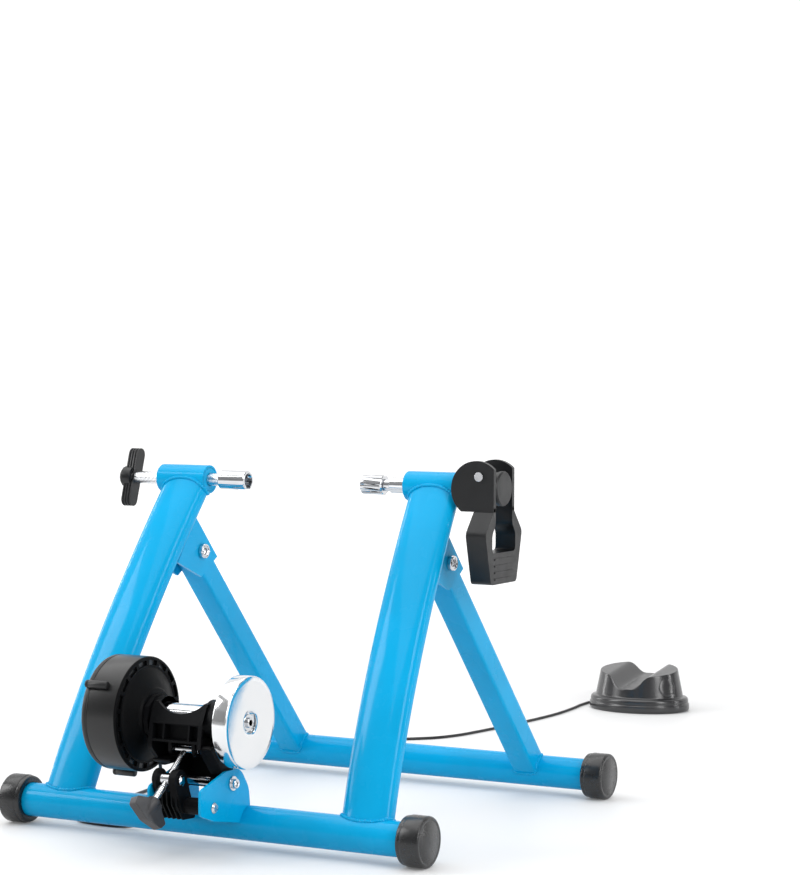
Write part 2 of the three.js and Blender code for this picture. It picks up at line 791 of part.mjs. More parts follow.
// Folding front legs, modelled about the hinge with the leg hanging along -Z
const hinge = new THREE.Group();
hinge.position.set(0, hingeY, hingeHeight);
hinge.rotation.x = Math.atan2(frontReach - hingeY, hingeHeight - tubeHeight);
hinge.updateMatrix();
trainer.add(hinge);
const hingeLength = Math.hypot(frontReach - hingeY, hingeHeight - tubeHeight);
const frontLegHalf = frontLegSize / 2;
const channelInner = frontLegHalf + gap;
const channelOuter = channelInner + bracketPlate;
const hingeBoltRadius = hingeBoltDiameter / 2;

function hingeBore(middle) {
  const reach = channelOuter + overrun;
  return rodX(hingeBoltRadius + gap, middle - reach, middle + reach, 0, 0, smallSides);
}

// Bracket: a channel, open at the back, welded to the front of the main leg
function bracketBody(side) {
  const middle = side * legTopSpread;
  const outline = polygon([
    [channelOuter, bracketRise], [channelOuter, -bracketReach], [-bracketTail, -bracketTip],
    [-bracketHeel, bracketHeelRise], [-bracketHeel, bracketRise],
  ]);
  const hollow = block(middle - channelInner, middle + channelInner,
    -bracketHeel - overrun, channelInner, -bracketReach - overrun, bracketRise + overrun);
  const behind = legBehindShares.map((share) => solid(legGeometry(side, gap, false)
    .applyMatrix4(hinge.matrix.clone().invert()).translate(0, -share * legDepth, 0)));
  return plateX(outline, middle - channelOuter, middle + channelOuter)
    .subtract(hollow).subtract(joined(behind)).subtract(hingeBore(middle));
}

// Front leg: square tube, rounded about the bolt at its top and coped over the front tube
function frontLegBody(side) {
  const middle = side * legTopSpread;
  const squareAt = (half, corner) => rounded([
    [middle - half, -half, corner], [middle + half, -half, corner],
    [middle + half, half, corner], [middle - half, half, corner],
  ]);
  const section = squareAt(frontLegHalf, frontLegCorner);
  section.holes.push(squareAt(frontLegHalf - frontLegWall, frontLegCorner - frontLegWall));
  const crown = plateX(bar([0, 0], [0, -hingeLength], frontLegHalf + slack),
    middle - frontLegSize, middle + frontLegSize, 8);
  return plateZ(section, -hingeLength, frontLegSize, 3)
    .intersect(crown)
    .subtract(rodX(tubeRadius + gap, middle - frontLegSize, middle + frontLegSize, 0, -hingeLength))
    .subtract(hingeBore(middle));
}

for (const [side, word] of [[-1, 'left'], [1, 'right']]) {
  const middle = side * legTopSpread;
  const seat = middle + channelOuter + gap;
  const far = middle - channelOuter - gap;
  const headHalf = hingeHeadDiameter / 2;
  piece(hinge, `hinge_bracket_${word}`, bracketBody(side), bluePaint);
  piece(hinge, `front_leg_${word}`, frontLegBody(side), bluePaint);
  piece(hinge, `hinge_bolt_${word}`, turned([
    [0, far - hingeNutHeight - capGroove], [hingeBoltRadius, far - hingeNutHeight - capGroove],
    [hingeBoltRadius, seat], [headHalf, seat], [headHalf, seat + hingeHeadHeight / 3],
    [headHalf * 0.8, seat + hingeHeadHeight * 0.8], [headHalf / 2, seat + hingeHeadHeight],
    [0, seat + hingeHeadHeight],
  ], 0, 0, smallSides), chrome);
  piece(hinge, `hinge_nut_${word}`, plateX(hexagon(hingeNutAcross), far - hingeNutHeight, far)
    .subtract(hingeBore(middle))
    .subtract(rodX(hingeBoltRadius + gap, far - hingeNutHeight - overrun, far + overrun)), chrome);
}

// Resistance unit, modelled about the roller's axis
const unit = new THREE.Group();
unit.position.set(0, rollerY, rollerHeight);
trainer.add(unit);
const pivotAt = [rollerSetback, -rollerRise];
const crossPinAt = [rollerSetback - crossPinSetback, crossPinRise - rollerRise];
const shaftRadius = shaftDiameter / 2;
const shaftBore = shaftRadius + gap;
const bearingRadius = bearingDiameter / 2;
const rollerRadius = rollerDiameter / 2;
const pivotBoltRadius = pivotBoltDiameter / 2;

piece(unit, 'roller', ringX(shaftBore, rollerRadius, -rollerLeft, rollerRight), chrome);

const drumCoverInner = drumOuterReach - drumShell * 2;
const magnetTop = drumCoverInner - gap - magnetPlateThickness - magnetThickness;
const rotorLeft = magnetTop - capChamfer;
piece(unit, 'roller_shaft', turned([
  [0, -rotorLeft], [shaftRadius, -rotorLeft],
  [shaftRadius, flywheelOuterReach - flywheelRecessDepth - drumShell],
  [flywheelBoltDiameter / 2 + gap, flywheelOuterReach - flywheelRecessDepth - drumShell],
  [flywheelBoltDiameter / 2 + gap, flywheelOuterReach - flywheelRecessDepth - flywheelBoltLength - gap],
  [0, flywheelOuterReach - flywheelRecessDepth - flywheelBoltLength - gap],
], 0, 0, smallSides), steel);

// Yoke: two cheeks, a sloping back wall with a saddle, hubs for the bearings and lugs for the cross pin
function yokeBody() {
  const tip = rollerRadius + yokeWall + 2.5;
  const topShares = [-0.56, 0.98];
  const crest = [-0.84 * tip, 0.95 * tip];
  const shoulder = [-1.63 * tip, 0.12 * tip];
  const tail = [-1.95 * tip, -1.05 * tip];
  const knee = [-0.79 * tip, -1.98 * tip];
  const heel = [pivotAt[0] - pivotBossDiameter / 2, pivotAt[1] + yokeWall];
  const toe = [pivotAt[0] + pivotBossDiameter / 2, pivotAt[1] + yokeWall];
  const side = polygon([
    [topShares[0] * tip, topShares[1] * tip], crest, shoulder, tail, knee, heel, toe,
    [0.98 * tip, -2.1 * tip], [0.93 * tip, -0.7 * tip], [0.74 * tip, 0.47 * tip],
  ]);
  const wall = polygon([
    crest, shoulder, tail, [tail[0] + yokeWall, tail[1]],
    [shoulder[0] + yokeWall, shoulder[1]], [crest[0] + yokeWall, crest[1] - yokeWall / 2],
  ]);
  const lugRadius = crossPinDiameter / 2 + yokeWall;
  const shelf = polygon([
    tail, [tail[0] + yokeWall, tail[1] - yokeWall], [crossPinAt[0] + lugRadius, tail[1] - yokeWall],
    [crossPinAt[0] + lugRadius, tail[1]],
  ]);
  const lug = bar(crossPinAt, [crossPinAt[0], tail[1] - yokeWall / 2], lugRadius);
  const parts = [plateX(wall, -yokeLeftOuter, yokeOuterHalf), plateX(shelf, -yokeLeftOuter, yokeOuterHalf)];
  for (const hand of [-1, 1]) {
    parts.push(plateX(lug, hand * lugInnerHalf, hand * (lugInnerHalf + lugThickness)));
  }
  parts.push(rodX(tip, yokeInnerHalf, yokeOuterHalf));
  parts.push(rodX(tip, -yokeLeftOuter, -yokeLeftInner));
  parts.push(plateX(side, yokeInnerHalf, yokeOuterHalf));
  parts.push(rodX(pivotBossDiameter / 2, yokeInnerHalf, plateRightReach - gap, ...pivotAt));
  // The left cheek steps inwards above its pivot plate
  const split = knee[1];
  const foot = gap - plateLeftReach;
  const footInner = foot + yokeOuterHalf - yokeInnerHalf;
  const above = block(-yokeLeftOuter, 0, 3 * tail[0], -2 * tail[0], split, 2 * tip);
  const step = block(-yokeLeftOuter, 0, 3 * tail[0], -2 * tail[0], split, split + yokeWall);
  const below = block(-yokeLeftOuter, 0, 3 * tail[0], -2 * tail[0], 2 * pivotAt[1], split + yokeWall);
  parts.push(plateX(side, -yokeLeftOuter, -yokeLeftInner).intersect(above));
  parts.push(plateX(side, -yokeLeftOuter, footInner).intersect(step));
  parts.push(plateX(side, foot, footInner).intersect(below));
  parts.push(rodX(pivotBossDiameter / 2, foot, footInner + yokeWall, ...pivotAt));
  // A front wall closes the space between the cheeks
  const brow = [0.93 * tip, -0.7 * tip];
  const chin = [0.98 * tip, -2.1 * tip];
  const hem = [0.8 * tip, -2.6 * tip];
  const inwards = ([y, z]) => [y - yokeWall, z];
  const upperFront = polygon([brow, chin, inwards(chin), inwards(brow)]);
  parts.push(plateX(upperFront, -yokeLeftInner - slack, yokeInnerHalf + slack));
  parts.push(plateX(polygon([chin, hem, inwards(hem), inwards(chin)]), foot, yokeInnerHalf + slack));
  parts.push(turned([
    [0, yokeInnerHalf], [tip, yokeInnerHalf], [tip, yokeOuterHalf],
    [yokeFlareDiameter / 2, yokeHubReach - yokeWall], [yokeFlareDiameter / 2, yokeHubReach], [0, yokeHubReach],
  ]));
  parts.push(turned([
    [0, -yokeLeftInner], [yokeNeckDiameter / 2, -yokeLeftInner], [yokeNeckDiameter / 2, -yokeLeftOuter],
    [yokeCollarDiameter / 2, -yokeCollarReach], [0, -yokeCollarReach],
  ]));
  const saddleRadius = (yokeSaddleHalf ** 2 + yokeSaddleDepth ** 2) / (2 * yokeSaddleDepth);
  const saddleHeight = crest[1] - yokeSaddleDepth + saddleRadius;
  const saddle = rodY(saddleRadius, 2 * shoulder[0], -shoulder[0], -yokeSaddleShift, saddleHeight, wideSides);
  const window = block(-lugInnerHalf - lugThickness, lugInnerHalf + lugThickness,
    2 * tail[0], (shoulder[0] + tail[0]) / 2 + yokeWall / 3, tail[1] + yokeWall / 2, shoulder[1] - yokeWall);
  return joined(parts)
    .subtract(saddle)
    .subtract(window)
    .subtract(rodX(shaftRadius + yokeWall / 2, -yokeCollarReach - overrun, yokeHubReach + overrun))
    .subtract(rodX(bearingRadius + gap, yokeHubReach - bearingSeatDepth, yokeHubReach + overrun))
    .subtract(rodX(bearingRadius + gap, -yokeCollarReach - overrun, -yokeCollarReach + bearingSeatDepth))
    .subtract(rodX(pivotBoltRadius + gap, -plateRightReach, plateRightReach, ...pivotAt, smallSides))
    .subtract(rodX(crossPinDiameter / 2 + gap, -yokeInnerHalf, yokeInnerHalf, ...crossPinAt, smallSides));
}

piece(unit, 'unit_yoke', yokeBody(), blackPlastic);
piece(unit, 'bearing_right', ringX(shaftBore, bearingRadius,
  yokeHubReach - gap - bearingWidth, yokeHubReach - gap, 0, 0, smallSides), steel);
piece(unit, 'bearing_left', ringX(shaftBore, bearingRadius,
  -yokeCollarReach + gap, -yokeCollarReach + gap + bearingWidth, 0, 0, smallSides), steel);
const crossPin = rodX(crossPinDiameter / 2, -crossPinHalf, crossPinHalf, ...crossPinAt, smallSides);
piece(unit, 'cross_pin', crossPin, chrome);

// Flywheel: dished behind, recessed in front for its bolt
const flywheelRadius = flywheelDiameter / 2;
const recessFloor = flywheelOuterReach - flywheelRecessDepth;
piece(unit, 'flywheel', turned([
  [shaftBore, flywheelInnerReach - 1], [yokeHubDiameter / 3, flywheelInnerReach - 1],
  [yokeHubDiameter / 3 + flywheelDish, flywheelInnerReach + flywheelDish],
  [flywheelRadius * 0.8, flywheelInnerReach + flywheelDish], [flywheelRadius * 0.86, flywheelInnerReach],
  [flywheelRadius - flywheelChamfer, flywheelInnerReach],
  [flywheelRadius, flywheelInnerReach + flywheelChamfer],
  [flywheelRadius, flywheelOuterReach - flywheelChamfer],
  [flywheelRadius - flywheelChamfer, flywheelOuterReach],
  [flywheelRecessDiameter / 2, flywheelOuterReach], [flywheelRecessDiameter / 2, recessFloor],
  [shaftBore, recessFloor], [shaftBore, flywheelInnerReach - 1],
], 0, 0, wideSides), chrome);

piece(unit, 'flywheel_bolt', plateX(hexagon(flywheelBoltAcross), recessFloor + gap, flywheelOuterReach + gap)
  .add(rodX(flywheelBoltDiameter / 2, recessFloor - flywheelBoltLength, recessFloor + flywheelRecessDepth / 2,
    0, 0, smallSides)), chrome);

// Drum: a shell with a dished, vented face on the right and a cover on the left
const drumRadius = drumDiameter / 2;
const drumHub = drumHubDiameter / 2;
const dishEdge = drumRadius - drumRimWidth;

function bosses(from, to) {
  const reach = drumRadius + capChamfer;
  return bossAnglesDegrees.map((degrees) => {
    const angle = radians(degrees);
    return rodX(bossDiameter / 2, from, to, reach * Math.cos(angle), reach * Math.sin(angle), fineSides);
  });
}

function housingBody() {
  const face = -drumInnerReach;
  const crown = face + drumRise;
  const shell = turned([
    [drumRadius - drumShell, -drumSeamReach], [drumRadius, -drumSeamReach], [drumRadius, face - drumShell],
    [drumRadius - capChamfer, face], [dishEdge, face],
    [drumHub, crown - capChamfer / 2], [drumHub - capChamfer, crown],
    [shaftRadius + yokeWall / 2, crown], [shaftRadius + yokeWall / 2, crown - drumShell],
    [drumHub - capChamfer, crown - drumShell], [dishEdge - drumShell, face - drumShell],
    [drumRadius - drumShell, face - drumShell], [drumRadius - drumShell, -drumSeamReach],
  ], 0, 0, wideSides);
  let housing = joined([shell, ...bosses(-drumSeamReach, -drumSeamReach + bossLength)]);
  const ceiling = face - drumShell - gap;
  const cavity = rodX(drumRadius - drumShell, -drumSeamReach - overrun, ceiling, 0, 0, wideSides);
  housing = housing.subtract(cavity);
  for (let i = 0; i < ventCount; i += 1) {
    const vent = new THREE.BoxGeometry(ventDepth, ventHeight, ventLength);
    vent.translate(face - drumShell, dishEdge + ventHeight / 2, 0).rotateX((i + 0.5) * 2 * Math.PI / ventCount);
    housing = housing.subtract(solid(vent));
  }
  return housing;
}

piece(unit, 'drum_housing', housingBody(), blackPlastic);

const coverEdge = -drumSeamReach - gap;
const spigotEnd = -drumCoverInner + magnetSpigotLength;
piece(unit, 'drum_cover', joined([turned([
  [0, -drumOuterReach], [drumRadius - yokeWall, -drumOuterReach], [drumRadius, -drumOuterReach + yokeWall],
  [drumRadius, coverEdge], [drumRadius - drumShell, coverEdge], [drumRadius - drumShell, -drumCoverInner],
  [magnetSpigotDiameter / 2, -drumCoverInner], [magnetSpigotDiameter / 2, spigotEnd], [0, spigotEnd],
], 0, 0, wideSides), ...bosses(-drumOuterReach + drumShell, coverEdge)]), blackPlastic);

// Magnet plate: turns on the cover's spigot when the remote pulls it
function magnetBody() {
  const back = -drumCoverInner + gap;
  const front = back + magnetPlateThickness;
  const circle = magnetPlateDiameter / 2 - magnetDiameter;
  const magnets = Array.from({ length: magnetCount }, (_, i) => {
    const angle = 2 * Math.PI * i / magnetCount;
    return rodX(magnetDiameter / 2, front - slack, front + magnetThickness,
      circle * Math.cos(angle), circle * Math.sin(angle), fineSides);
  });
  return joined([ringX(magnetSpigotDiameter / 2 + gap, magnetPlateDiameter / 2, back, front), ...magnets]);
}

piece(unit, 'magnet_plate', magnetBody(), magnetBlack);

piece(unit, 'rotor_disc', turned([
  [shaftBore, -rotorLeft], [rotorDiameter / 2, -rotorLeft], [rotorDiameter / 2, -rotorLeft + rotorThickness],
  [rotorHubDiameter / 2, -rotorLeft + rotorThickness],
  [rotorHubDiameter / 2, -rotorLeft + rotorThickness + rotorHubLength],
  [shaftBore, -rotorLeft + rotorThickness + rotorHubLength], [shaftBore, -rotorLeft],
]), aluminium);

// Cable gland on the low front side of the drum
const glandFoot = drumRadius + gap;
const gland = piece(unit, 'cable_gland', solid(turnedY([
  [0, glandFoot], [glandBaseDiameter / 2, glandFoot], [glandBaseDiameter / 2, glandFoot + drumShell],
  [glandTipDiameter / 2, glandFoot + glandLength], [0, glandFoot + glandLength],
], fineSides)), blackPlastic);
gland.position.x = -glandReach;
gland.rotation.x = radians(glandAngleDegrees);

// Pivot plates, welded to the rear tube
function plateOutline() {
  const top = pivotBossDiameter / 2 + drumShell;
  const screwY = -rearReach - baseScrewSetback;
  const screwZ = tubeHeight + baseScrewRise;
  return rounded([
    [pivotY + 2.5 * top, tubeHeight + 0.9 * tubeRadius], [pivotY + 2.3 * top, pivotHeight - 0.6 * top, 2 * top],
    [pivotY + 1.1 * top, pivotHeight + top, 1.4 * top], [pivotY - top * 0.9, pivotHeight + top, top / 2],
    [screwY - 1.8 * top, screwZ + 1.5 * top, top / 2], [screwY - 1.8 * top, screwZ - top / 3, top / 3],
    [screwY, screwZ - top, top / 2], [-rearReach, tubeHeight], [-rearReach + top / 2, tubeHeight],
  ]);
}

const baseScrewAt = [-rearReach - baseScrewSetback, tubeHeight + baseScrewRise];
for (const [side, word, reach] of [[-1, 'left', plateLeftReach], [1, 'right', plateRightReach]]) {
  const inner = side * reach;
  const outer = side * (reach + plateThickness);
  const far = side * (reach + plateThickness + overrun);
  const near = side * (reach - overrun);
  piece(trainer, `pivot_plate_${word}`, plateX(plateOutline(), inner, outer)
    .subtract(rodX(tubeRadius + gap, near, far, -rearReach, tubeHeight))
    .subtract(rodX(pivotBoltRadius + gap, near, far, pivotY, pivotHeight, smallSides))
    .subtract(rodX(baseScrewDiameter / 2 + gap, near, far, ...baseScrewAt, smallSides)), bluePaint);
}

const plateFace = plateRightReach + plateThickness + gap;
const leftPlateFace = plateLeftReach + plateThickness + gap;
piece(trainer, 'pivot_bolt', turned([
  [0, -leftPlateFace - pivotNutHeight - capGroove],
  [pivotBoltRadius, -leftPlateFace - pivotNutHeight - capGroove],
  [pivotBoltRadius, plateFace], [pivotHeadDiameter / 2, plateFace],
  [pivotHeadDiameter / 2, plateFace + pivotHeadHeight - cupChamfer],
  [pivotHeadDiameter / 2 - cupChamfer, plateFace + pivotHeadHeight],
  [pivotBoltRadius / 2, plateFace + pivotHeadHeight],
  [pivotBoltRadius / 2, plateFace + pivotHeadHeight / 2], [0, plateFace + pivotHeadHeight / 2],
], pivotY, pivotHeight, smallSides), chrome);

const nutOutline = hexagon(pivotNutAcross);
const nutBlank = new THREE.ExtrudeGeometry(nutOutline, { depth: pivotNutHeight, bevelEnabled: false });
piece(trainer, 'pivot_nut', solid(nutBlank
  .applyMatrix4(new THREE.Matrix4().makeBasis(alongY, alongZ, alongX))
  .translate(-leftPlateFace - pivotNutHeight, pivotY, pivotHeight))
  .subtract(rodX(pivotBoltRadius + gap, -leftPlateFace - pivotNutHeight - overrun, -leftPlateFace + overrun,
    pivotY, pivotHeight, smallSides)), steel);

// Tension base: a ribbed block with two ears, on a rivet between the plates
function tensionBaseBody() {
  const at = (y, z) => [trunnionY + y, trunnionHeight + z];
  const ear = bar(at(0, 0), at(earRadius, -2.4 * earRadius), earRadius);
  const rib = polygon([
    at(-0.5 * earRadius, -1.15 * earRadius), at(0.4 * earRadius, -1.15 * earRadius),
    at(3.1 * earRadius, -3.3 * earRadius), at(2.7 * earRadius, -4.1 * earRadius),
    at(0.7 * earRadius, -4 * earRadius), at(-0.4 * earRadius, -2.4 * earRadius),
  ]);
  const parts = [
    rodX(baseBossDiameter / 2, gap - plateLeftReach, plateRightReach - gap, ...baseScrewAt),
    plateX(ear, -earLeftHalf, -earInnerHalf),
    plateX(ear, earInnerHalf, earRightHalf),
  ];
  for (let i = 0; i < ribCount; i += 1) {
    const middle = THREE.MathUtils.lerp(-earLeftHalf, earRightHalf, (i + 0.5) / ribCount);
    parts.push(plateX(rib, middle - ribThickness / 2, middle + ribThickness / 2));
  }
  return joined(parts)
    .subtract(rodX(baseScrewDiameter / 2 + gap, -plateRightReach, plateRightReach, ...baseScrewAt, smallSides))
    .subtract(rodX(trunnionPinDiameter / 2 + gap, -2 * earRightHalf, 2 * earRightHalf,
      trunnionY, trunnionHeight, smallSides));
}

piece(trainer, 'tension_base', tensionBaseBody(), blackPlastic);
piece(trainer, 'base_rivet', turned([
  [0, -leftPlateFace - baseScrewHeadHeight], [baseScrewHeadDiameter / 3, -leftPlateFace - baseScrewHeadHeight],
  [baseScrewHeadDiameter / 2, -leftPlateFace], [baseScrewDiameter / 2, -leftPlateFace],
  [baseScrewDiameter / 2, plateFace],
  [baseScrewHeadDiameter / 2, plateFace], [baseScrewHeadDiameter / 3, plateFace + baseScrewHeadHeight],
  [0, plateFace + baseScrewHeadHeight],
], ...baseScrewAt, smallSides), steel);

// Tension screw, modelled about the trunnion with the screw along Z towards the cross pin
const tension = new THREE.Group();
const screwRun = [trunnionSetback - crossPinSetback, crossPinRise - trunnionRise];
const screwLength = Math.hypot(...screwRun);
tension.position.set(0, trunnionY, trunnionHeight);
tension.rotation.x = -Math.atan2(...screwRun);
trainer.add(tension);
const tensionScrewRadius = tensionScrewDiameter / 2;

piece(tension, 'trunnion', joined([
  rodX(trunnionDiameter / 2, -trunnionHalf, trunnionHalf, 0, 0, smallSides),
  rodX(trunnionPinDiameter / 2, -trunnionPinLeft, trunnionPinRight + gap + trunnionHeadHeight / 2,
    0, 0, smallSides),
  turned([
    [0, trunnionPinRight + gap], [trunnionHeadDiameter / 2, trunnionPinRight + gap],
    [trunnionHeadDiameter / 2, trunnionPinRight + gap + trunnionHeadHeight / 2],
    [trunnionHeadDiameter / 3, trunnionPinRight + gap + trunnionHeadHeight],
    [0, trunnionPinRight + gap + trunnionHeadHeight],
  ], 0, 0, smallSides),
]).subtract(turnedZ([
  [0, -trunnionDiameter], [tensionScrewRadius - cupChamfer + gap, -trunnionDiameter],
  [tensionScrewRadius - cupChamfer + gap, trunnionDiameter], [0, trunnionDiameter],
], smallSides)), chrome);

const screwTop = screwLength - crossPinDiameter / 2 - tensionTipClearance;
piece(tension, 'tension_screw', turnedZ([
  [0, -handleStart - handleBoreDepth + gap], [tensionScrewRadius, -handleStart - handleBoreDepth + gap],
  [tensionScrewRadius, -trunnionDiameter], [tensionScrewRadius - cupChamfer, -trunnionDiameter + cupChamfer],
  [tensionScrewRadius - cupChamfer, screwTop], [0, screwTop],
], smallSides), chrome);

// T handle: a short hub that widens into a fan with two blunt ends
function handleBody() {
  const hub = handleHubDiameter / 2;
  const wing = handleWingWidth / 2;
  const root = -handleStart - handleHubLength;
  const end = root - handleWingDepth;
  const half = handleSpan / 2;
  const tipHigh = root - 0.4 * handleWingDepth;
  const tipLow = root - 0.8 * handleWingDepth;
  const wings = plateY(rounded([
    [-half, tipHigh, wing / 2], [-0.9 * half, tipLow, wing / 2],
    [0, end, 2 * wing], [0.9 * half, tipLow, wing / 2],
    [half, tipHigh, wing / 2], [1.3 * hub, root, wing], [0.9 * hub, -handleStart - cupChamfer],
    [-0.9 * hub, -handleStart - cupChamfer], [-1.3 * hub, root, wing],
  ]), -wing, wing, 4);
  const bore = turnedZ([
    [0, -handleStart - handleBoreDepth], [tensionScrewRadius + gap, -handleStart - handleBoreDepth],
    [tensionScrewRadius + gap, overrun - handleStart], [0, overrun - handleStart],
  ], smallSides);
  return turnedZ([
    [0, root - 2 * wing], [wing, root - 2 * wing], [hub, root], [hub, -handleStart - cupChamfer],
    [hub - cupChamfer, -handleStart], [0, -handleStart],
  ], smallSides).add(wings).subtract(bore);
}

const handle = piece(tension, 'tension_handle', handleBody(), greyPlastic);
handle.rotation.z = radians(handleTurnDegrees);

// Front wheel block: an oval tapering body on a stepped lip, with a valley for the tyre
function wheelBlockBody() {
  const half = blockLength / 2;
  const bodyHalf = half - blockLipInset;
  const squash = blockDepth / blockLength;
  const outer = turnedY([
    [0, 0], [half - blockEdge, 0], [half, blockEdge], [half, blockLip * 0.5],
    [half - blockEdge / 2, blockLip * 0.58], [half - blockEdge / 2, blockLip * 0.82],
    [half - 1.5 * blockEdge, blockLip], [bodyHalf, blockLip + blockEdge / 2],
    [half - blockTopInset, blockHeight], [0, blockHeight],
  ], wideSides).rotateX(quarterTurn).scale(1, squash, 1);
  const inner = turnedY([
    [0, -overrun], [bodyHalf - blockShell + blockEdge, -overrun], [bodyHalf - blockShell, blockLip],
    [bodyHalf - 3 * blockShell, valleyHeight - 2 * blockShell], [0, valleyHeight - 1.4 * blockShell],
  ], roundSides).rotateX(quarterTurn).scale(1, squash, 1);
  const above = new THREE.Shape();
  above.moveTo(-half, 2 * blockHeight);
  above.lineTo(-half, humpHeight);
  above.lineTo(-humpHalf, humpHeight);
  above.bezierCurveTo(-humpHalf / 1.6, humpHeight, -2.6 * valleyHalf, valleyHeight, -valleyHalf, valleyHeight);
  above.lineTo(valleyHalf, valleyHeight);
  above.bezierCurveTo(2.6 * valleyHalf, valleyHeight, humpHalf / 1.6, humpHeight, humpHalf, humpHeight);
  above.lineTo(half, humpHeight);
  above.lineTo(half, 2 * blockHeight);
  const cutter = thickened(above, 0, 2 * blockDepth, 12);
  cutter.applyMatrix4(new THREE.Matrix4().makeBasis(alongX, alongZ, alongY.clone().negate()));
  cutter.translate(0, blockDepth, -valleyHeight);
  cutter.rotateX(radians(humpSlopeDegrees)).translate(0, 0, valleyHeight);
  return solid(outer).subtract(solid(cutter)).subtract(solid(inner));
}

const wheelBlock = new THREE.Group();
wheelBlock.position.y = wheelbase;
trainer.add(wheelBlock);
piece(wheelBlock, 'wheel_block', wheelBlockBody(), greyPlastic);

// Remote, lying on its back: knob towards -Y, handlebar clamp towards +Y
const remote = new THREE.Group();
remote.position.set(remoteX, remoteY, remoteHeight / 2);
remote.rotation.z = radians(remoteTurnDegrees);
trainer.add(remote);
const remoteHalfDepth = remoteDepth / 2;
const barRadius = barDiameter / 2;
const strapOuter = barRadius + strapThickness;
const barY = remoteHalfDepth + strapPadHeight + barRadius;
const knuckleRadius = knuckleDiameter / 2;
const knuckleX = strapOuter + knuckleRadius - strapThickness / 2;
const strapHalf = strapWidth / 2;
const knuckleHalf = strapWidth / 6;

function halfRing(sign) {
  const ring = new THREE.Shape();
  const start = sign > 0 ? 0 : Math.PI;
  ring.absarc(0, barY, strapOuter, start, start + Math.PI);
  ring.absarc(0, barY, barRadius, start + Math.PI, start, true);
  return plateZ(ring, -strapHalf, strapHalf, 8);
}

function knuckle(x, from, to, radius = knuckleRadius) {
  return turnedZAt(radius, from, to, x, barY);
}

function turnedZAt(radius, from, to, x, y, sides = smallSides) {
  const rod = turnedY([[0, from], [radius, from], [radius, to], [0, to]], sides);
  return solid(rod.rotateX(quarterTurn).translate(x, y, 0));
}

function remoteBody() {
  const half = remoteWidth / 2;
  const tall = remoteHeight / 2;
  const corner = remoteCorner;
  const housing = plateY(rounded([
    [-half, -tall, corner], [half, -tall, corner], [half, tall, corner], [-half, tall, corner],
  ]), -remoteHalfDepth, remoteHalfDepth, 4);
  const padEnd = barY - barRadius + strapThickness / 2;
  const pad = block(-barRadius / 2, barRadius / 2, remoteHalfDepth - slack, padEnd, -strapHalf, strapHalf)
    .subtract(turnedZAt(barRadius + slack, -strapWidth, strapWidth, 0, barY, roundSides));
  const glandZ = remoteGlandRise - tall;
  const glandShape = turned([
    [0, half + remoteGlandLength], [remoteGlandDiameter / 2 - cupChamfer, half + remoteGlandLength],
    [remoteGlandDiameter / 2, half - slack], [0, half - slack],
  ], 0, glandZ, fineSides);
  const spigotHole = rodY(remoteSpigotDiameter / 2 + gap, -remoteHalfDepth - overrun,
    -remoteHalfDepth + remoteSpigotLength, 0, 0, smallSides);
  const room = turnedZAt(knuckleRadius + gap, -knuckleHalf - gap, knuckleHalf + gap, knuckleX, barY);
  const clear = turnedZAt(knuckleRadius + 2 * gap, -strapWidth, strapWidth, -knuckleX, barY);
  const ears = [-1, 1].map((hand) => knuckle(knuckleX, hand * (knuckleHalf + gap), hand * strapHalf));
  return joined([housing, pad, halfRing(-1).subtract(room).subtract(clear), ...ears, glandShape])
    .subtract(spigotHole)
    .add(knuckle(knuckleX, -strapHalf, strapHalf, knucklePinDiameter / 2));
}

piece(remote, 'remote_body', remoteBody(), blackPlastic);

// Remote knob: a wavy disc on a spigot
function remoteKnobBody() {
  const radius = remoteKnobDiameter / 2 - remoteKnobWave;
  const wave = Array.from({ length: knobWaveSteps }, (_, i) => {
    const angle = 2 * Math.PI * i / knobWaveSteps;
    const reach = radius + remoteKnobWave * Math.cos(remoteKnobLobes * angle);
    return [reach * Math.cos(angle), reach * Math.sin(angle)];
  });
  const front = -remoteHalfDepth - gap - remoteKnobDepth;
  return plateY(polygon(wave), front, -remoteHalfDepth - gap)
    .add(rodY(remoteSpigotDiameter / 2, front + remoteKnobDepth / 2, -remoteHalfDepth + remoteSpigotLength - gap,
      0, 0, smallSides));
}

piece(remote, 'remote_knob', remoteKnobBody(), greyPlastic);

// Clamp strap: the other half of the ring, hinged on one side and latched on the other
const strapRoom = [-1, 1].map((hand) => turnedZAt(knuckleRadius + gap,
  hand * knuckleHalf, hand * (strapHalf + overrun), knuckleX, barY));
const leverAt = [-knuckleX, barY + knuckleRadius];
const leverEar = turnedZAt(knuckleRadius, -strapHalf, strapHalf, ...leverAt);
const leverRoom = turnedZAt(knuckleRadius + 2 * gap, -knuckleHalf - gap, knuckleHalf + gap, ...leverAt);
piece(remote, 'remote_strap', joined([
  halfRing(1).subtract(block(-2 * strapOuter, 2 * strapOuter, barY - gap, barY + gap, -strapWidth, strapWidth))
    .subtract(joined(strapRoom)),
  knuckle(knuckleX, -knuckleHalf, knuckleHalf),
  leverEar,
]).subtract(leverRoom)
  .subtract(knuckle(knuckleX, -strapWidth, strapWidth, knucklePinDiameter / 2 + gap))
  .add(turnedZAt(knucklePinDiameter / 2, -strapHalf, strapHalf, ...leverAt)), blackPlastic);

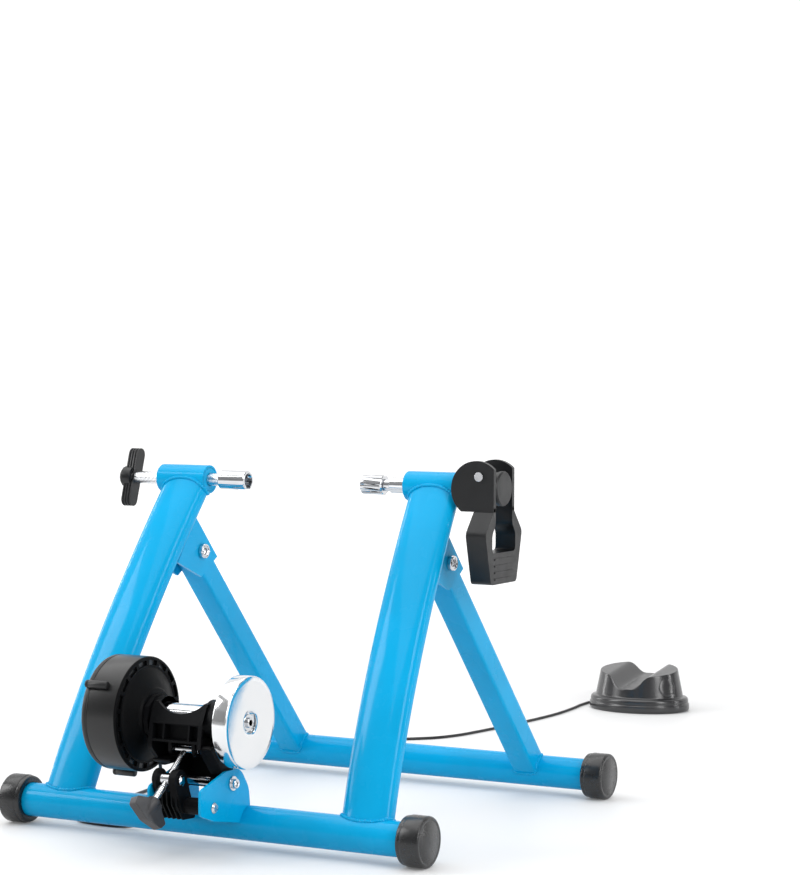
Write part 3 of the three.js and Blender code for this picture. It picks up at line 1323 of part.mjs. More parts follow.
// Clamp lever: an eye on the strap's pin with a curved tail
function remoteLeverBody() {
  const [eyeX, eyeY] = leverAt;
  const eye = knuckleRadius - slack;
  const tail = new THREE.Shape();
  tail.moveTo(eyeX - eye / 2, eyeY);
  tail.quadraticCurveTo(eyeX - remoteLeverWidth, eyeY + remoteLeverLength / 2,
    eyeX - remoteLeverWidth / 2, eyeY + remoteLeverLength);
  tail.lineTo(eyeX, eyeY + remoteLeverLength);
  tail.quadraticCurveTo(eyeX - remoteLeverWidth / 3, eyeY + remoteLeverLength / 2, eyeX + eye / 2, eyeY);
  return turnedZAt(eye, -knuckleHalf, knuckleHalf, eyeX, eyeY)
    .add(plateZ(tail, -knuckleHalf, knuckleHalf))
    .subtract(turnedZAt(knucklePinDiameter / 2 + gap, -strapWidth, strapWidth, eyeX, eyeY));
}

piece(remote, 'remote_lever', remoteLeverBody(), blackPlastic);

// Cable: one route from the drum's gland to the coil, the coil, and a short tail to the remote
const glandAngle = radians(glandAngleDegrees);
const glandEnd = glandFoot + glandLength + gap;
const cableStart = new THREE.Vector3(-glandReach, rollerY + glandEnd * Math.cos(glandAngle),
  rollerHeight + glandEnd * Math.sin(glandAngle));
const glandWay = new THREE.Vector3(0, Math.cos(glandAngle), Math.sin(glandAngle));
const cableRoute = [
  [-88, -180, 66], [-91, -177, 50], [-96, -178, 32], [-104, -181, 15], [-118, -185, 5],
  [-140, -187.5, floorLift], [-170, -188, floorLift], [-195, -183, floorLift], [-212, -165, floorLift],
  [-222, -130, floorLift], [-230, -80, floorLift], [-237, -20, floorLift], [-247, 40, floorLift],
  [-266, 95, floorLift], [-285, 145, floorLift], [-297, 200, floorLift], [-301, 255, floorLift],
  [-297, 320, floorLift], [-278, 390, floorLift], [-240, 450, floorLift], [-198, 497, floorLift],
  [-158, 532, floorLift], [-130, 560, floorLift], [-113, 595, floorLift], [-103, 640, floorLift],
  [-95, 690, floorLift], [-86, 757, floorLift], [-79, 850, floorLift], [-82, 915, floorLift],
  [-87, 960, floorLift], [-86, 1000, floorLift], [-72, 1028, floorLift], [-50, 1043, floorLift],
  [-33, 1053, floorLift],
];

// Coil: two layers, spiralling in and out again, climbing a layer in the half turn between
class CoilCurve extends THREE.Curve {
  constructor() {
    super();
    this.layerAngle = 2 * Math.PI * coilLayerTurns;
    this.wholeAngle = 2 * this.layerAngle + Math.PI;
  }

  getPoint(t, target = new THREE.Vector3()) {
    const angle = t * this.wholeAngle;
    const inward = Math.min(angle, this.layerAngle);
    const outward = Math.max(angle - this.layerAngle - Math.PI, 0);
    const climb = THREE.MathUtils.clamp((angle - this.layerAngle) / Math.PI, 0, 1);
    const radius = coilOuterRadius - coilPitch * (inward - outward) / (2 * Math.PI)
      - coilDip * Math.sin(Math.PI * climb);
    const ease = (1 - Math.cos(Math.PI * climb)) / 2;
    return target.set(
      coilX - radius * Math.cos(angle),
      coilY + radius * Math.sin(angle),
      floorLift + coilLayerRise * ease,
    );
  }
}

function cableTube(curve, steps, sides) {
  return solid(new THREE.ExtrudeGeometry(ringShape(cableDiameter / 2, sides, Math.PI / sides), {
    steps, extrudePath: curve, bevelEnabled: false,
  }));
}

const coil = new CoilCurve();
const coilIn = coil.getPoint(0);
const coilOut = coil.getPoint(1);
const coilInWay = coil.getTangent(0);
const coilOutWay = coil.getTangent(1);
const remoteGlandTip = new THREE.Vector3(remoteWidth / 2 + remoteGlandLength + gap, 0,
  remoteGlandRise - remoteHeight / 2);
remote.updateMatrix();
const tailEnd = remoteGlandTip.clone().applyMatrix4(remote.matrix);
const tailWay = new THREE.Vector3(-1, 0, 0).transformDirection(remote.matrix);
const stepAlong = (point, way, length) => point.clone().addScaledVector(way, length);

const runCurve = new THREE.CatmullRomCurve3([
  cableStart, stepAlong(cableStart, glandWay, cableDiameter),
  stepAlong(cableStart, glandWay, 2.5 * cableDiameter),
  ...cableRoute.map((point) => new THREE.Vector3(...point)),
  stepAlong(coilIn, coilInWay, -gap - 2 * cableDiameter), stepAlong(coilIn, coilInWay, -gap - cableDiameter),
  stepAlong(coilIn, coilInWay, -gap),
]);

// The tail runs straight on from the coil, then bends round to face the gland
const tailLean = radians(remoteTurnDegrees);
const bendAngle = quarterTurn + tailLean;
const bendX = coilOut.x - tailBend;
const bendY = tailEnd.y + (bendX + tailBend * Math.cos(bendAngle) - tailEnd.x) * Math.tan(tailLean)
  - tailBend * Math.sin(bendAngle);
const tailCurve = new THREE.CatmullRomCurve3([
  stepAlong(coilOut, coilOutWay, gap), stepAlong(coilOut, coilOutWay, gap + cableDiameter),
  ...tailBendShares.map((share) => new THREE.Vector3(
    bendX + tailBend * Math.cos(share * bendAngle),
    bendY + tailBend * Math.sin(share * bendAngle),
    THREE.MathUtils.lerp(coilOut.z, tailEnd.z, (share + 1) / 2),
  )),
  tailEnd,
]);
const coilSteps = Math.round(coilTurnSteps * coil.wholeAngle / (2 * Math.PI));
const cableNodes = [
  piece(trainer, 'cable_run', cableTube(runCurve, cableSteps, cableSides), cableJacket),
  piece(trainer, 'cable_coil', cableTube(coil, coilSteps, cableSides), cableJacket),
  piece(trainer, 'cable_tail', cableTube(tailCurve, tailSteps, cableSides), cableJacket),
];

// Least gap between the coil's turns, measured on points a step apart
function leastCoilGap() {
  const points = coil.getSpacedPoints(400);
  const stepLength = coil.getLength() / 400;
  const skip = Math.ceil(coilOuterRadius / stepLength);
  let least = Infinity;
  for (let i = 0; i < points.length; i += 1) {
    for (let j = i + skip; j < points.length; j += 1) {
      least = Math.min(least, points[i].distanceTo(points[j]) - cableDiameter);
    }
  }
  return least;
}

console.log('least gap in the coil', leastCoilGap().toFixed(2), 'mm');
console.log('cable', (runCurve.getLength() + coil.getLength() + tailCurve.getLength()).toFixed(0), 'mm long');

// The origin goes to the middle of the floor area that the rigid pieces cover
trainer.updateMatrixWorld(true);
const extent = new THREE.Box3();
trainer.traverse((item) => {
  if (item.isMesh && !cableNodes.includes(item)) extent.expandByObject(item, true);
});
const middle = extent.getCenter(new THREE.Vector3());
trainer.position.set(-middle.x, -middle.y, -extent.min.z);
console.log('shift', trainer.position.toArray().map((value) => value.toFixed(4)).join(' '));

export default trainer;
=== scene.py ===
# %% [markdown]
# # A folding bicycle trainer
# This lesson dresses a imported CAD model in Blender. The object is a steel stand that clamps a bicycle by its rear
# axle and presses a braked roller on the tyre, with a block for the front wheel and a remote on a cable. The CAD
# solids have the right size and place, so each step models one piece more finely, or gives it its finish.

import json
import math

import bmesh
import bpy
from mathutils import Matrix, Vector


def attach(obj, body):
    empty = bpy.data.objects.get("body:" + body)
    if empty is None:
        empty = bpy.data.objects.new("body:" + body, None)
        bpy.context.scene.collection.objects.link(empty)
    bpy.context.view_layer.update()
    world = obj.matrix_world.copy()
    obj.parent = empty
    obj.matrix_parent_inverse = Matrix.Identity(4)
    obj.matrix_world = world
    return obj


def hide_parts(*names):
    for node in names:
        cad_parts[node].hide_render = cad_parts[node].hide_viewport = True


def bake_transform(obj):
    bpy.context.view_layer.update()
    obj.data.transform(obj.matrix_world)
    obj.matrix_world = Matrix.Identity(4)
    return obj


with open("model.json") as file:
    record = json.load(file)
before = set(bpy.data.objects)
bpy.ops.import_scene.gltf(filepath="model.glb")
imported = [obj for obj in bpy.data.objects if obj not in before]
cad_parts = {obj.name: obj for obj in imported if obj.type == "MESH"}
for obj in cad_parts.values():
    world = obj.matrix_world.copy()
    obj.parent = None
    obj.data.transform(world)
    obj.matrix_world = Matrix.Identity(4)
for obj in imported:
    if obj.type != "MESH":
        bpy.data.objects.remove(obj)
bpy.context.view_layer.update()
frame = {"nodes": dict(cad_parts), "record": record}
body_of = {node: body for body, nodes in frame["record"]["behaviour"]["bodies"].items() for node in nodes}
slot_of = {row["node"]: row["material_slot"] for row in frame["record"]["subparts"]}

# %% [markdown]
# The drawing is in millimetres from a point under the rear axle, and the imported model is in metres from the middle
# of its floor area. One small function turns the first into the second.

# %% Drawing coordinates
MM = 0.001
REAR_SHIFT = 393.2495
ALONG_X = Vector((1, 0, 0))
ALONG_Z = Vector((0, 0, 1))
SIDES = ((-1, "left"), (1, "right"))


def at(x, y, z):
    """A point of the drawing, in millimetres, as a point of the scene, in metres."""
    return Vector((x, y - REAR_SHIFT, z)) * MM


# %% [markdown]
# The camera stands low behind the stand's right side, far away with a long lens. Its place and directions were
# worked out from the round rims and the tubes. The lens is set for the picture's long side.

# %% Camera
IMAGE_LONG_SIDE = 875
FOCAL_PIXELS = 2487.04
SENSOR = 36
VIEWPOINT = (1479.7, -2493.7, 540.1)
to_right = Vector((0.8779, 0.4791, 0.0028)).normalized()
to_up = Vector((-0.0190, 0.0290, 0.9996))
to_up = (to_up - to_right * to_up.dot(to_right)).normalized()
to_viewer = to_right.cross(to_up)

lens = bpy.data.cameras.new("view")
lens.sensor_width = SENSOR
lens.lens = FOCAL_PIXELS / IMAGE_LONG_SIDE * SENSOR
lens.clip_end = 50
camera = bpy.data.objects.new("view", lens)
camera_turn = Matrix((to_right, to_up, to_viewer)).transposed().to_4x4()
camera.matrix_world = Matrix.Translation(at(*VIEWPOINT)) @ camera_turn
bpy.context.scene.collection.objects.link(camera)
bpy.context.scene.camera = camera
print("lens", round(lens.lens, 2), "mm")

# %% [markdown]
# ## Finishes
# Each finish is one node material, written as sums: a small class wraps an output socket and turns Python's
# operators into Math nodes. Every pattern reads Object coordinates, which stay with the piece when it moves.

# %% Sums on sockets
class Reading:
    """A node's output that can be added, subtracted and multiplied."""

    def __init__(self, finish, socket):
        self.finish = finish
        self.socket = socket

    def maths(self, operation, left, right=None):
        values = {0: left} if right is None else {0: left, 1: right}
        return self.finish.node("ShaderNodeMath", {"operation": operation}, values)

    def __add__(self, other):
        return self.maths("ADD", self, other)

    def __sub__(self, other):
        return self.maths("SUBTRACT", self, other)

    def __rsub__(self, other):
        return self.maths("SUBTRACT", other, self)

    def __mul__(self, other):
        return self.maths("MULTIPLY", self, other)

    def sine(self):
        return self.maths("SINE", self)

    __radd__ = __add__
    __rmul__ = __mul__


class Finish:
    """A material under one Principled shader, with helpers for its patterns."""

    def __init__(self, name, colour, roughness, metallic=0):
        self.material = bpy.data.materials.new(name)
        self.material.use_nodes = True
        self.tree = self.material.node_tree
        self.shader = self.tree.nodes["Principled BSDF"]
        self.colour = colour
        self.set("Base Color", (*colour, 1))
        self.set("Roughness", roughness)
        self.set("Metallic", metallic)
        self.place = self.node("ShaderNodeTexCoord", {}, {}, "Object")

    def fill(self, socket, value):
        if isinstance(value, Reading):
            self.tree.links.new(value.socket, socket)
        else:
            socket.default_value = value

    def node(self, kind, settings, values, output=0):
        made = self.tree.nodes.new(kind)
        for key, value in settings.items():
            setattr(made, key, value)
        for key, value in values.items():
            self.fill(made.inputs[key], value)
        return Reading(self, made.outputs[output])

    def set(self, name, value):
        self.fill(self.shader.inputs[name], value)

    def noise(self, per_metre, detail=2, roughness=0.5, place=None):
        values = {"Vector": place or self.place, "Scale": per_metre, "Detail": detail, "Roughness": roughness}
        return self.node("ShaderNodeTexNoise", {}, values)

    def smooth(self, value, low, high, to_low=0, to_high=1):
        values = {"Value": value, "From Min": low, "From Max": high, "To Min": to_low, "To Max": to_high}
        return self.node("ShaderNodeMapRange", {"interpolation_type": "SMOOTHSTEP"}, values)

    def vector(self, operation, *values, output="Vector"):
        return self.node("ShaderNodeVectorMath", {"operation": operation}, dict(enumerate(values)), output)

    def mixed(self, share, first, second):
        """A colour between two: sockets 0, 6 and 7 are the share and the colours, and output 2 is the mix."""
        return self.node("ShaderNodeMix", {"data_type": "RGBA"}, {0: share, 6: first, 7: second}, 2)

    def bump(self, height, depth, strength=1):
        values = {"Height": height, "Distance": depth, "Strength": strength}
        self.set("Normal", self.node("ShaderNodeBump", {}, values))

    def grain(self, per_metre, depth):
        self.bump(self.noise(per_metre, 2, 0.7), depth, 0.5)

    def shades(self, share, darker, lighter):
        """Base colour that drifts between a darker and a lighter shade of the finish's own colour."""
        first = tuple(channel * darker for channel in self.colour) + (1,)
        second = tuple(min(channel * lighter, 1) for channel in self.colour) + (1,)
        self.set("Base Color", self.mixed(share, first, second))


# %% [markdown]
# Powder paint on steel tube is glossy but not a mirror: a fine orange peel bends the highlights, and handling
# leaves slightly duller patches. A coat adds the wet highlight over the blue.

# %% Blue paint
def blue_paint():
    paint = Finish("blue paint", (0.001, 0.342, 0.645), 0.3)
    paint.set("Specular IOR Level", 0.06)
    paint.set("Coat Weight", 0.2)
    paint.set("Coat Roughness", 0.07)
    broad = paint.noise(9, 3)
    paint.shades(paint.smooth(broad, 0.3, 0.7), 0.94, 1.05)
    paint.set("Roughness", 0.2 + 0.14 * paint.smooth(paint.noise(26, 4), 0.35, 0.75))
    paint.bump(paint.noise(420, 1), 0.00006, 0.35)
    return paint.material


# %% [markdown]
# The black pieces are moulded nylon. A moulding has a fine spark-eroded grain, so its highlights are broad and a
# little uneven. The rubber caps are smoother and shine, by the same recipe.

# %% Moulded plastics and rubber
def moulded(name, colour, roughness, grain, depth, gloss=0.4, drift=0.14):
    plastic = Finish(name, colour, roughness)
    plastic.set("Specular IOR Level", gloss)
    plastic.shades(plastic.smooth(plastic.noise(14, 3), 0.3, 0.7), 0.85, 1.2)
    patches = plastic.smooth(plastic.noise(60, 4), 0.3, 0.75)
    plastic.set("Roughness", (roughness - 0.4 * drift) + drift * patches)
    plastic.grain(grain, depth)
    return plastic.material


# %% [markdown]
# Chromed steel mirrors the room, with faint polishing haze. The flywheel's face is turned before plating, so fine
# rings run round its axis: a sine of the distance from the axis gives them. A screw has such rings along it.

# %% Metals
def plated(name, colour, roughness, haze):
    metal = Finish(name, colour, roughness, metallic=1)
    metal.shades(metal.smooth(metal.noise(30, 3), 0.3, 0.7), 0.95, 1.03)
    metal.set("Roughness", roughness + haze * metal.smooth(metal.noise(90, 5), 0.35, 0.8))
    metal.bump(metal.noise(700, 2), 0.00002, 0.2)
    return metal.material


ROLLER_Y = -250
ROLLER_Z = 143.5
TOOL_PITCH = 1.1


def rings_of(distance, pitch):
    """A wave along a distance in metres, with its pitch in millimetres."""
    return (distance * (2 * math.pi / (pitch * MM))).sine()


def turned_metal():
    metal = Finish("turned flywheel chrome", (0.8, 0.81, 0.82), 0.12, metallic=1)
    away = metal.vector("SUBTRACT", metal.place, tuple(at(0, ROLLER_Y, ROLLER_Z)))
    flat = metal.vector("MULTIPLY", away, (0, 1, 1))
    rings = rings_of(metal.vector("LENGTH", flat, output="Value"), TOOL_PITCH)
    metal.set("Roughness", 0.08 + 0.1 * metal.smooth(metal.noise(35, 4), 0.3, 0.8))
    metal.bump(rings, 0.000012, 0.3)
    return metal.material


def threaded(name, way, pitch):
    """Bright steel with rings at a thread's pitch along a direction."""
    metal = Finish(name, (0.72, 0.73, 0.75), 0.2, metallic=1)
    rings = rings_of(metal.vector("DOT_PRODUCT", metal.place, tuple(way), output="Value"), pitch)
    # Colour darker in the grooves and lighter on the crests: painted shade and painted highlight along the thread.
    metal.shades(metal.smooth(rings, -1, 0.6), 0.65, 1.25)
    metal.set("Roughness", 0.16 + 0.12 * metal.smooth(metal.noise(80, 3), 0.3, 0.8))
    metal.bump(rings, 0.00012, 0.6)
    return metal.material


# %% [markdown]
# Two mouldings have a look of their own. The drum's coat covers only its smooth side wall and ends at the edge to
# its grained face, so the face stays duller and darker: painted shade, for the face lies in shade beside the
# flywheel. The front block is glossy, and the streaks painted up its height are painted reflections.

# %% Drum and block
DRUM_EDGE = -58.5


def drum_plastic():
    plastic = Finish("drum black", (0.002, 0.0022, 0.0026), 0.45)
    plastic.set("Specular IOR Level", 0.07)
    across = plastic.node("ShaderNodeSeparateXYZ", {}, {0: plastic.place}, "X")
    side = 1 - plastic.smooth(across, (DRUM_EDGE - 1) * MM, DRUM_EDGE * MM)
    plastic.shades(plastic.smooth(plastic.noise(14, 3), 0.3, 0.7), 0.85, 1.2)
    # Coat on the side wall only: the duller, darker face is painted shade.
    plastic.set("Coat Weight", 0.95 * side)
    plastic.set("Coat Roughness", 0.3)
    plastic.set("Roughness", 0.42 + 0.14 * plastic.smooth(plastic.noise(60, 4), 0.3, 0.75))
    plastic.grain(1900, 0.00006)
    return plastic.material


def block_plastic():
    plastic = Finish("front block plastic", (0.014, 0.014, 0.016), 0.23)
    plastic.set("Specular IOR Level", 0.8)
    drawn = plastic.vector("MULTIPLY", plastic.place, (1, 1, 0.12))
    # Streaks stretched up the block and painted into its colour: painted reflections of the lights in its glossy
    # wall.
    painted_reflection_streaks = plastic.smooth(plastic.noise(70, 3, 0.6, drawn), 0.35, 0.7)
    plastic.shades(painted_reflection_streaks, 0.9, 1.12)
    plastic.set("Roughness", 0.2 + 0.07 * painted_reflection_streaks)
    plastic.grain(1700, 0.00005)
    return plastic.material


# %% All the finishes
finishes = {
    "paint": blue_paint(),
    "black": moulded("black nylon", (0.006, 0.0065, 0.0075), 0.36, 1900, 0.00008),
    "grey": moulded("grey moulding", (0.022, 0.022, 0.025), 0.38, 1700, 0.00008, gloss=0.6),
    "rubber": moulded("cap rubber", (0.007, 0.0075, 0.0085), 0.27, 1500, 0.00008, gloss=0.6, drift=0.05),
    "chrome": plated("chrome", (0.66, 0.67, 0.69), 0.05, 0.08),
    "steel": plated("bright steel", (0.62, 0.64, 0.66), 0.22, 0.15),
    "aluminium": plated("aluminium", (0.75, 0.76, 0.78), 0.25, 0.15),
    "block": block_plastic(),
    "magnet": moulded("magnet plate coating", (0.06, 0.062, 0.07), 0.5, 1200, 0.00005),
    # A darker, duller copy of the black nylon: painted shade on the brake unit's bracket and the tension base.
    "unit": moulded("brake unit black with painted shade", (0.003, 0.0033, 0.004), 0.5, 1900, 0.00006, gloss=0.1),
    "jacket": moulded("cable jacket", (0.012, 0.012, 0.014), 0.35, 2500, 0.00003),
}
flywheel_finish = turned_metal()
tension_thread = threaded("tension screw thread", Vector((0, 34, 27)).normalized(), 1.6)
adjust_thread = threaded("adjust screw thread", ALONG_X, 2)
drum_finish = drum_plastic()
print(len(finishes) + 4, "finishes")

for name, item in frame["nodes"].items():
    item.data.materials.clear()
    item.data.materials.append(finishes[slot_of[name]])

# %% [markdown]
# ## The cable
# A thin Bowden cable runs from the brake drum to the remote. It lies on the floor in a loose curve round the
# stand, and its spare length is wound into a flat coil behind the wheel block. It is a spline through the
# drawing's route, swept with a round section.

# %% Route of the cable
CABLE_DIAMETER = 4.0
FLOOR_LIFT = 2.1
JOINT = 0.3
DRUM_RADIUS = 63
GLAND_LENGTH = 16
GLAND_X = -85
GLAND_TIP = DRUM_RADIUS + JOINT + GLAND_LENGTH + JOINT
GLAND_ANGLE = math.radians(-45)
ROUTE = [
    (-88, -180, 66), (-91, -177, 50), (-96, -178, 32), (-104, -181, 15), (-118, -185, 5),
    (-140, -187.5), (-170, -188), (-195, -183), (-212, -165), (-222, -130), (-230, -80), (-237, -20), (-247, 40),
    (-266, 95), (-285, 145), (-297, 200), (-301, 255), (-297, 320), (-278, 390), (-240, 450), (-198, 497),
    (-158, 532), (-130, 560), (-113, 595), (-103, 640), (-95, 690), (-86, 757), (-79, 850), (-82, 915),
    (-87, 960), (-86, 1000), (-72, 1028), (-50, 1043), (-33, 1053),
]
COIL_CENTRE = (2, 1072)
COIL_RADIUS = 27.5
COIL_PITCH = 4.6
COIL_RISE = 4.5
COIL_DIP = 0.9
LAYER_ANGLE = 2 * math.pi * 1.75
WHOLE_ANGLE = 2 * LAYER_ANGLE + math.pi
TAIL_BEND = 12


def coil_point(angle):
    """A point of the wound coil: in along the lower layer, half a turn of climb, out along the upper one."""
    inward = min(angle, LAYER_ANGLE)
    outward = max(angle - LAYER_ANGLE - math.pi, 0)
    climb = min(max((angle - LAYER_ANGLE) / math.pi, 0), 1)
    radius = (COIL_RADIUS - COIL_PITCH * (inward - outward) / (2 * math.pi)
              - COIL_DIP * math.sin(math.pi * climb))
    height = FLOOR_LIFT + COIL_RISE * (1 - math.cos(math.pi * climb)) / 2
    x, y = COIL_CENTRE
    return Vector((x - radius * math.cos(angle), y + radius * math.sin(angle), height))


def spline(points, steps):
    """Centripetal Catmull-Rom spline through the points, with a number of steps between each two."""
    ends = [2 * points[0] - points[1], *points, 2 * points[-1] - points[-2]]
    line = []
    for before, start, end, after in zip(ends, ends[1:], ends[2:], ends[3:]):
        gap, own, next_gap = [max((b - a).length ** 0.5, 1e-4)
                              for a, b in ((before, start), (start, end), (end, after))]
        leave = ((start - before) / gap - (end - before) / (gap + own) + (end - start) / own) * own
        reach = ((end - start) / own - (after - start) / (own + next_gap) + (after - end) / next_gap) * own
        for step in range(steps):
            t = step / steps
            line.append(start + leave * t + (3 * (end - start) - 2 * leave - reach) * t ** 2
                        + (2 * (start - end) + leave + reach) * t ** 3)
    line.append(points[-1].copy())
    return line


# %% [markdown]
# The remote lies turned on its back, so its own points are turned and moved too. The cable ends at the tip of the
# spout on the remote's right side.

# %% Place of the remote
REMOTE_TURN = math.radians(28.6)
REMOTE_CENTRE = Vector((-76, 1086, 21))
REMOTE_HALF = 26
SPOUT_LENGTH = 8
SPOUT_HEIGHT = 8


def on_remote(x, y, z):
    """A point of the remote's own drawing, in millimetres, placed in the main drawing."""
    return REMOTE_CENTRE + Matrix.Rotation(REMOTE_TURN, 3, "Z") @ Vector((x, y, z))


gland_way = Vector((0, math.cos(GLAND_ANGLE), math.sin(GLAND_ANGLE)))
cable_exit = Vector((GLAND_X, ROLLER_Y, ROLLER_Z)) + gland_way * GLAND_TIP
coil_in, coil_out = coil_point(0), coil_point(WHOLE_ANGLE)
coil_in_way = (coil_point(0.001) - coil_in).normalized()
coil_out_way = (coil_out - coil_point(WHOLE_ANGLE - 0.001)).normalized()
remote_end = on_remote(REMOTE_HALF + SPOUT_LENGTH + JOINT, 0, SPOUT_HEIGHT - REMOTE_CENTRE.z)

run_points = [cable_exit + gland_way * reach * CABLE_DIAMETER for reach in (0, 1, 2.5)]
run_points += [Vector(point if len(point) == 3 else (*point, FLOOR_LIFT)) for point in ROUTE]
run_points += [coil_in - coil_in_way * (JOINT + reach * CABLE_DIAMETER) for reach in (2, 1, 0)]
tail_points = [coil_out + coil_out_way * (JOINT + reach * CABLE_DIAMETER) for reach in (0, 1)]
bend_angle = math.pi / 2 + REMOTE_TURN
bend_x = coil_out.x - TAIL_BEND
bend_y = (remote_end.y + (bend_x + TAIL_BEND * math.cos(bend_angle) - remote_end.x) * math.tan(REMOTE_TURN)
          - TAIL_BEND * math.sin(bend_angle))
for share in (0, 0.33, 0.67, 1):
    height = coil_out.z + (remote_end.z - coil_out.z) * (share + 1) / 2
    angle = share * bend_angle
    tail_points.append(Vector((bend_x + TAIL_BEND * math.cos(angle), bend_y + TAIL_BEND * math.sin(angle), height)))
tail_points.append(remote_end)
COIL_SAMPLES = 210
SPLINE_STEPS = 10
cable_line = spline(run_points, SPLINE_STEPS)
cable_line += [coil_point(WHOLE_ANGLE * i / COIL_SAMPLES) for i in range(COIL_SAMPLES + 1)]
cable_line += spline(tail_points, SPLINE_STEPS)
cable_line = [at(*point) for point in cable_line]
cable_length = sum((b - a).length for a, b in zip(cable_line, cable_line[1:]))

curve = bpy.data.curves.new("cable sweep", "CURVE")
curve.dimensions = "3D"
curve.bevel_depth = CABLE_DIAMETER / 2 * MM
curve.bevel_resolution = 3
curve.use_fill_caps = True
stretch = curve.splines.new("POLY")
stretch.points.add(len(cable_line) - 1)
for knot, point in zip(stretch.points, cable_line):
    knot.co = (*point, 1)
curve.materials.append(finishes["jacket"])
swept = bpy.data.objects.new("cable sweep", curve)
cable = bpy.data.objects.new("cable", bpy.data.meshes.new_from_object(swept))
bpy.data.objects.remove(swept)
bpy.context.scene.collection.objects.link(cable)
print("cable", round(cable_length, 3), "m")

# %% [markdown]
# ## Helpers for the pieces
# A piece is made in bmesh and becomes an object at the origin. Where it stands for a CAD node, it rides on that
# node's body and takes its finish. A weld bead or another small extra names its body and slot itself.

# %% A piece of the object
SMOOTH_ANGLE = math.radians(38)


def shown(name, shape, material):
    """Turns a bmesh into an object of the scene."""
    mesh = bpy.data.meshes.new(name)
    shape.to_mesh(mesh)
    shape.free()
    mesh.materials.append(material)
    item = bpy.data.objects.new(name, mesh)
    bpy.context.scene.collection.objects.link(item)
    return item


def piece(name, shape, node=None, body=None, slot=None, finish=None, bevel=0):
    """Turns a bmesh into a piece that rides on a body."""
    slot = slot or slot_of[node]
    item = shown(name, shape, finish or finishes[slot])
    for face in item.data.polygons:
        face.use_smooth = True
    item.data.set_sharp_from_angle(angle=SMOOTH_ANGLE)
    if bevel:
        soft = item.modifiers.new("edge", "BEVEL")
        soft.width = bevel * MM
        soft.segments = 2
        soft.limit_method = "ANGLE"
        soft.angle_limit = SMOOTH_ANGLE
        soft.harden_normals = True
        soft.miter_outer = "MITER_ARC"
    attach(item, body or body_of[node])
    if node:
        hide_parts(node)
    return item


# %% [markdown]
# Many solids have the right form and only look hard, as their edges are razor sharp. A copy of such a mesh is
# merged, its flat triangles are joined into whole faces, and a small bevel catches the light along each edge.

# %% Softened copies of CAD solids
CAD_MERGE = 0.01
FLAT_ANGLE = math.radians(0.6)


def softened(node, bevel, finish):
    shape = bmesh.new()
    shape.from_mesh(frame["nodes"][node].data)
    bmesh.ops.remove_doubles(shape, verts=shape.verts, dist=CAD_MERGE * MM)
    bmesh.ops.dissolve_limit(shape, angle_limit=FLAT_ANGLE, verts=shape.verts, edges=shape.edges)
    piece(node + "_finished", shape, node, finish=finish, bevel=bevel)


# %% Turned shapes
SPIN_MERGE = 0.002


def spun(points, centre, axis, steps, merge):
    """Spins a row of points once round an axis."""
    shape = bmesh.new()
    corners = [shape.verts.new(point) for point in points]
    edges = [shape.edges.new(pair) for pair in zip(corners, corners[1:])]
    bmesh.ops.spin(shape, geom=corners + edges, cent=centre, axis=axis, angle=2 * math.pi, steps=steps,
                   use_merge=True, use_duplicate=False)
    bmesh.ops.remove_doubles(shape, verts=shape.verts, dist=merge)
    return shape


def turned(profile, centre, steps):
    """Spins a profile of (radius, place along X) round the X direction at a (y, z) of the drawing, in metres."""
    middle = at(0, *centre)
    points = [middle + Vector((along, 0, radius)) * MM for radius, along in profile]
    shape = spun(points, middle, ALONG_X, steps, SPIN_MERGE * MM)
    bmesh.ops.recalc_face_normals(shape, faces=shape.faces)
    return shape


def verts_in(parts):
    return [part for part in parts if isinstance(part, bmesh.types.BMVert)]


def together(shapes):
    """Puts several closed shapes into one."""
    whole = bmesh.new()
    for shape in shapes:
        spare = bpy.data.meshes.new("spare")
        shape.to_mesh(spare)
        shape.free()
        whole.from_mesh(spare)
        bpy.data.meshes.remove(spare)
    return whole


# %% [markdown]
# ## Base tubes and caps
# The base tubes are plain painted pipe, and each end wears a rubber cap that is also the foot. The cap is turned,
# with a rounded rim and a shallow step behind it.

# %% Base tubes
TUBE_Z = 27.5
REAR_Y = -212
FRONT_Y = 251
TUBE_END = 268
TUBE_RADIUS = 19
TUBE_BORE = 17
BASE_STEPS = 96
BASES = (("rear", REAR_Y), ("front", FRONT_Y))
PIPE_PROFILE = [(TUBE_BORE, -TUBE_END), (TUBE_RADIUS, -TUBE_END), (TUBE_RADIUS, TUBE_END), (TUBE_BORE, TUBE_END),
                (TUBE_BORE, -TUBE_END)]

for place, y in BASES:
    node = place + "_base_tube"
    piece(node + "_pipe", turned(PIPE_PROFILE, (y, TUBE_Z), BASE_STEPS), node)
print("base tubes", 2 * TUBE_END, "mm long")

# %% Caps
CAP_EDGE = 271.5
CAP_PROFILE = [
    (0, 0), (21.5, 0), (22.3, 0.5), (23, 0.5), (24.2, 0.1), (25.6, 0.3), (26.7, 1.1), (27.3, 2.2), (27.5, 3.6),
    (27.5, 21), (27.2, 22), (26.6, 22.6), (26.5, 23.6), (26.5, 25.6), (26.1, 27), (25, 27.9), (23, 28), (19.8, 28),
    (19.3, 27.4), (19.3, 3), (0, 3),
]
for side, word in SIDES:
    profile = [(radius, side * (CAP_EDGE - depth)) for radius, depth in CAP_PROFILE]
    for place, y in BASES:
        node = place + "_cap_" + word
        piece(node + "_rubber", turned(profile, (y, TUBE_Z), BASE_STEPS), node)
print(len(SIDES) * len(BASES), "caps")

# %% [markdown]
# ## Main legs
# Each main leg is an oval steel tube, bent once. It is lofted: an oval ring at each station of the bend, bridged
# to the next one, with the rings at both ends slid along the tube until they lie on the pipe that they are
# welded to. Strips from side to side close each end, and lie on the pipe too.

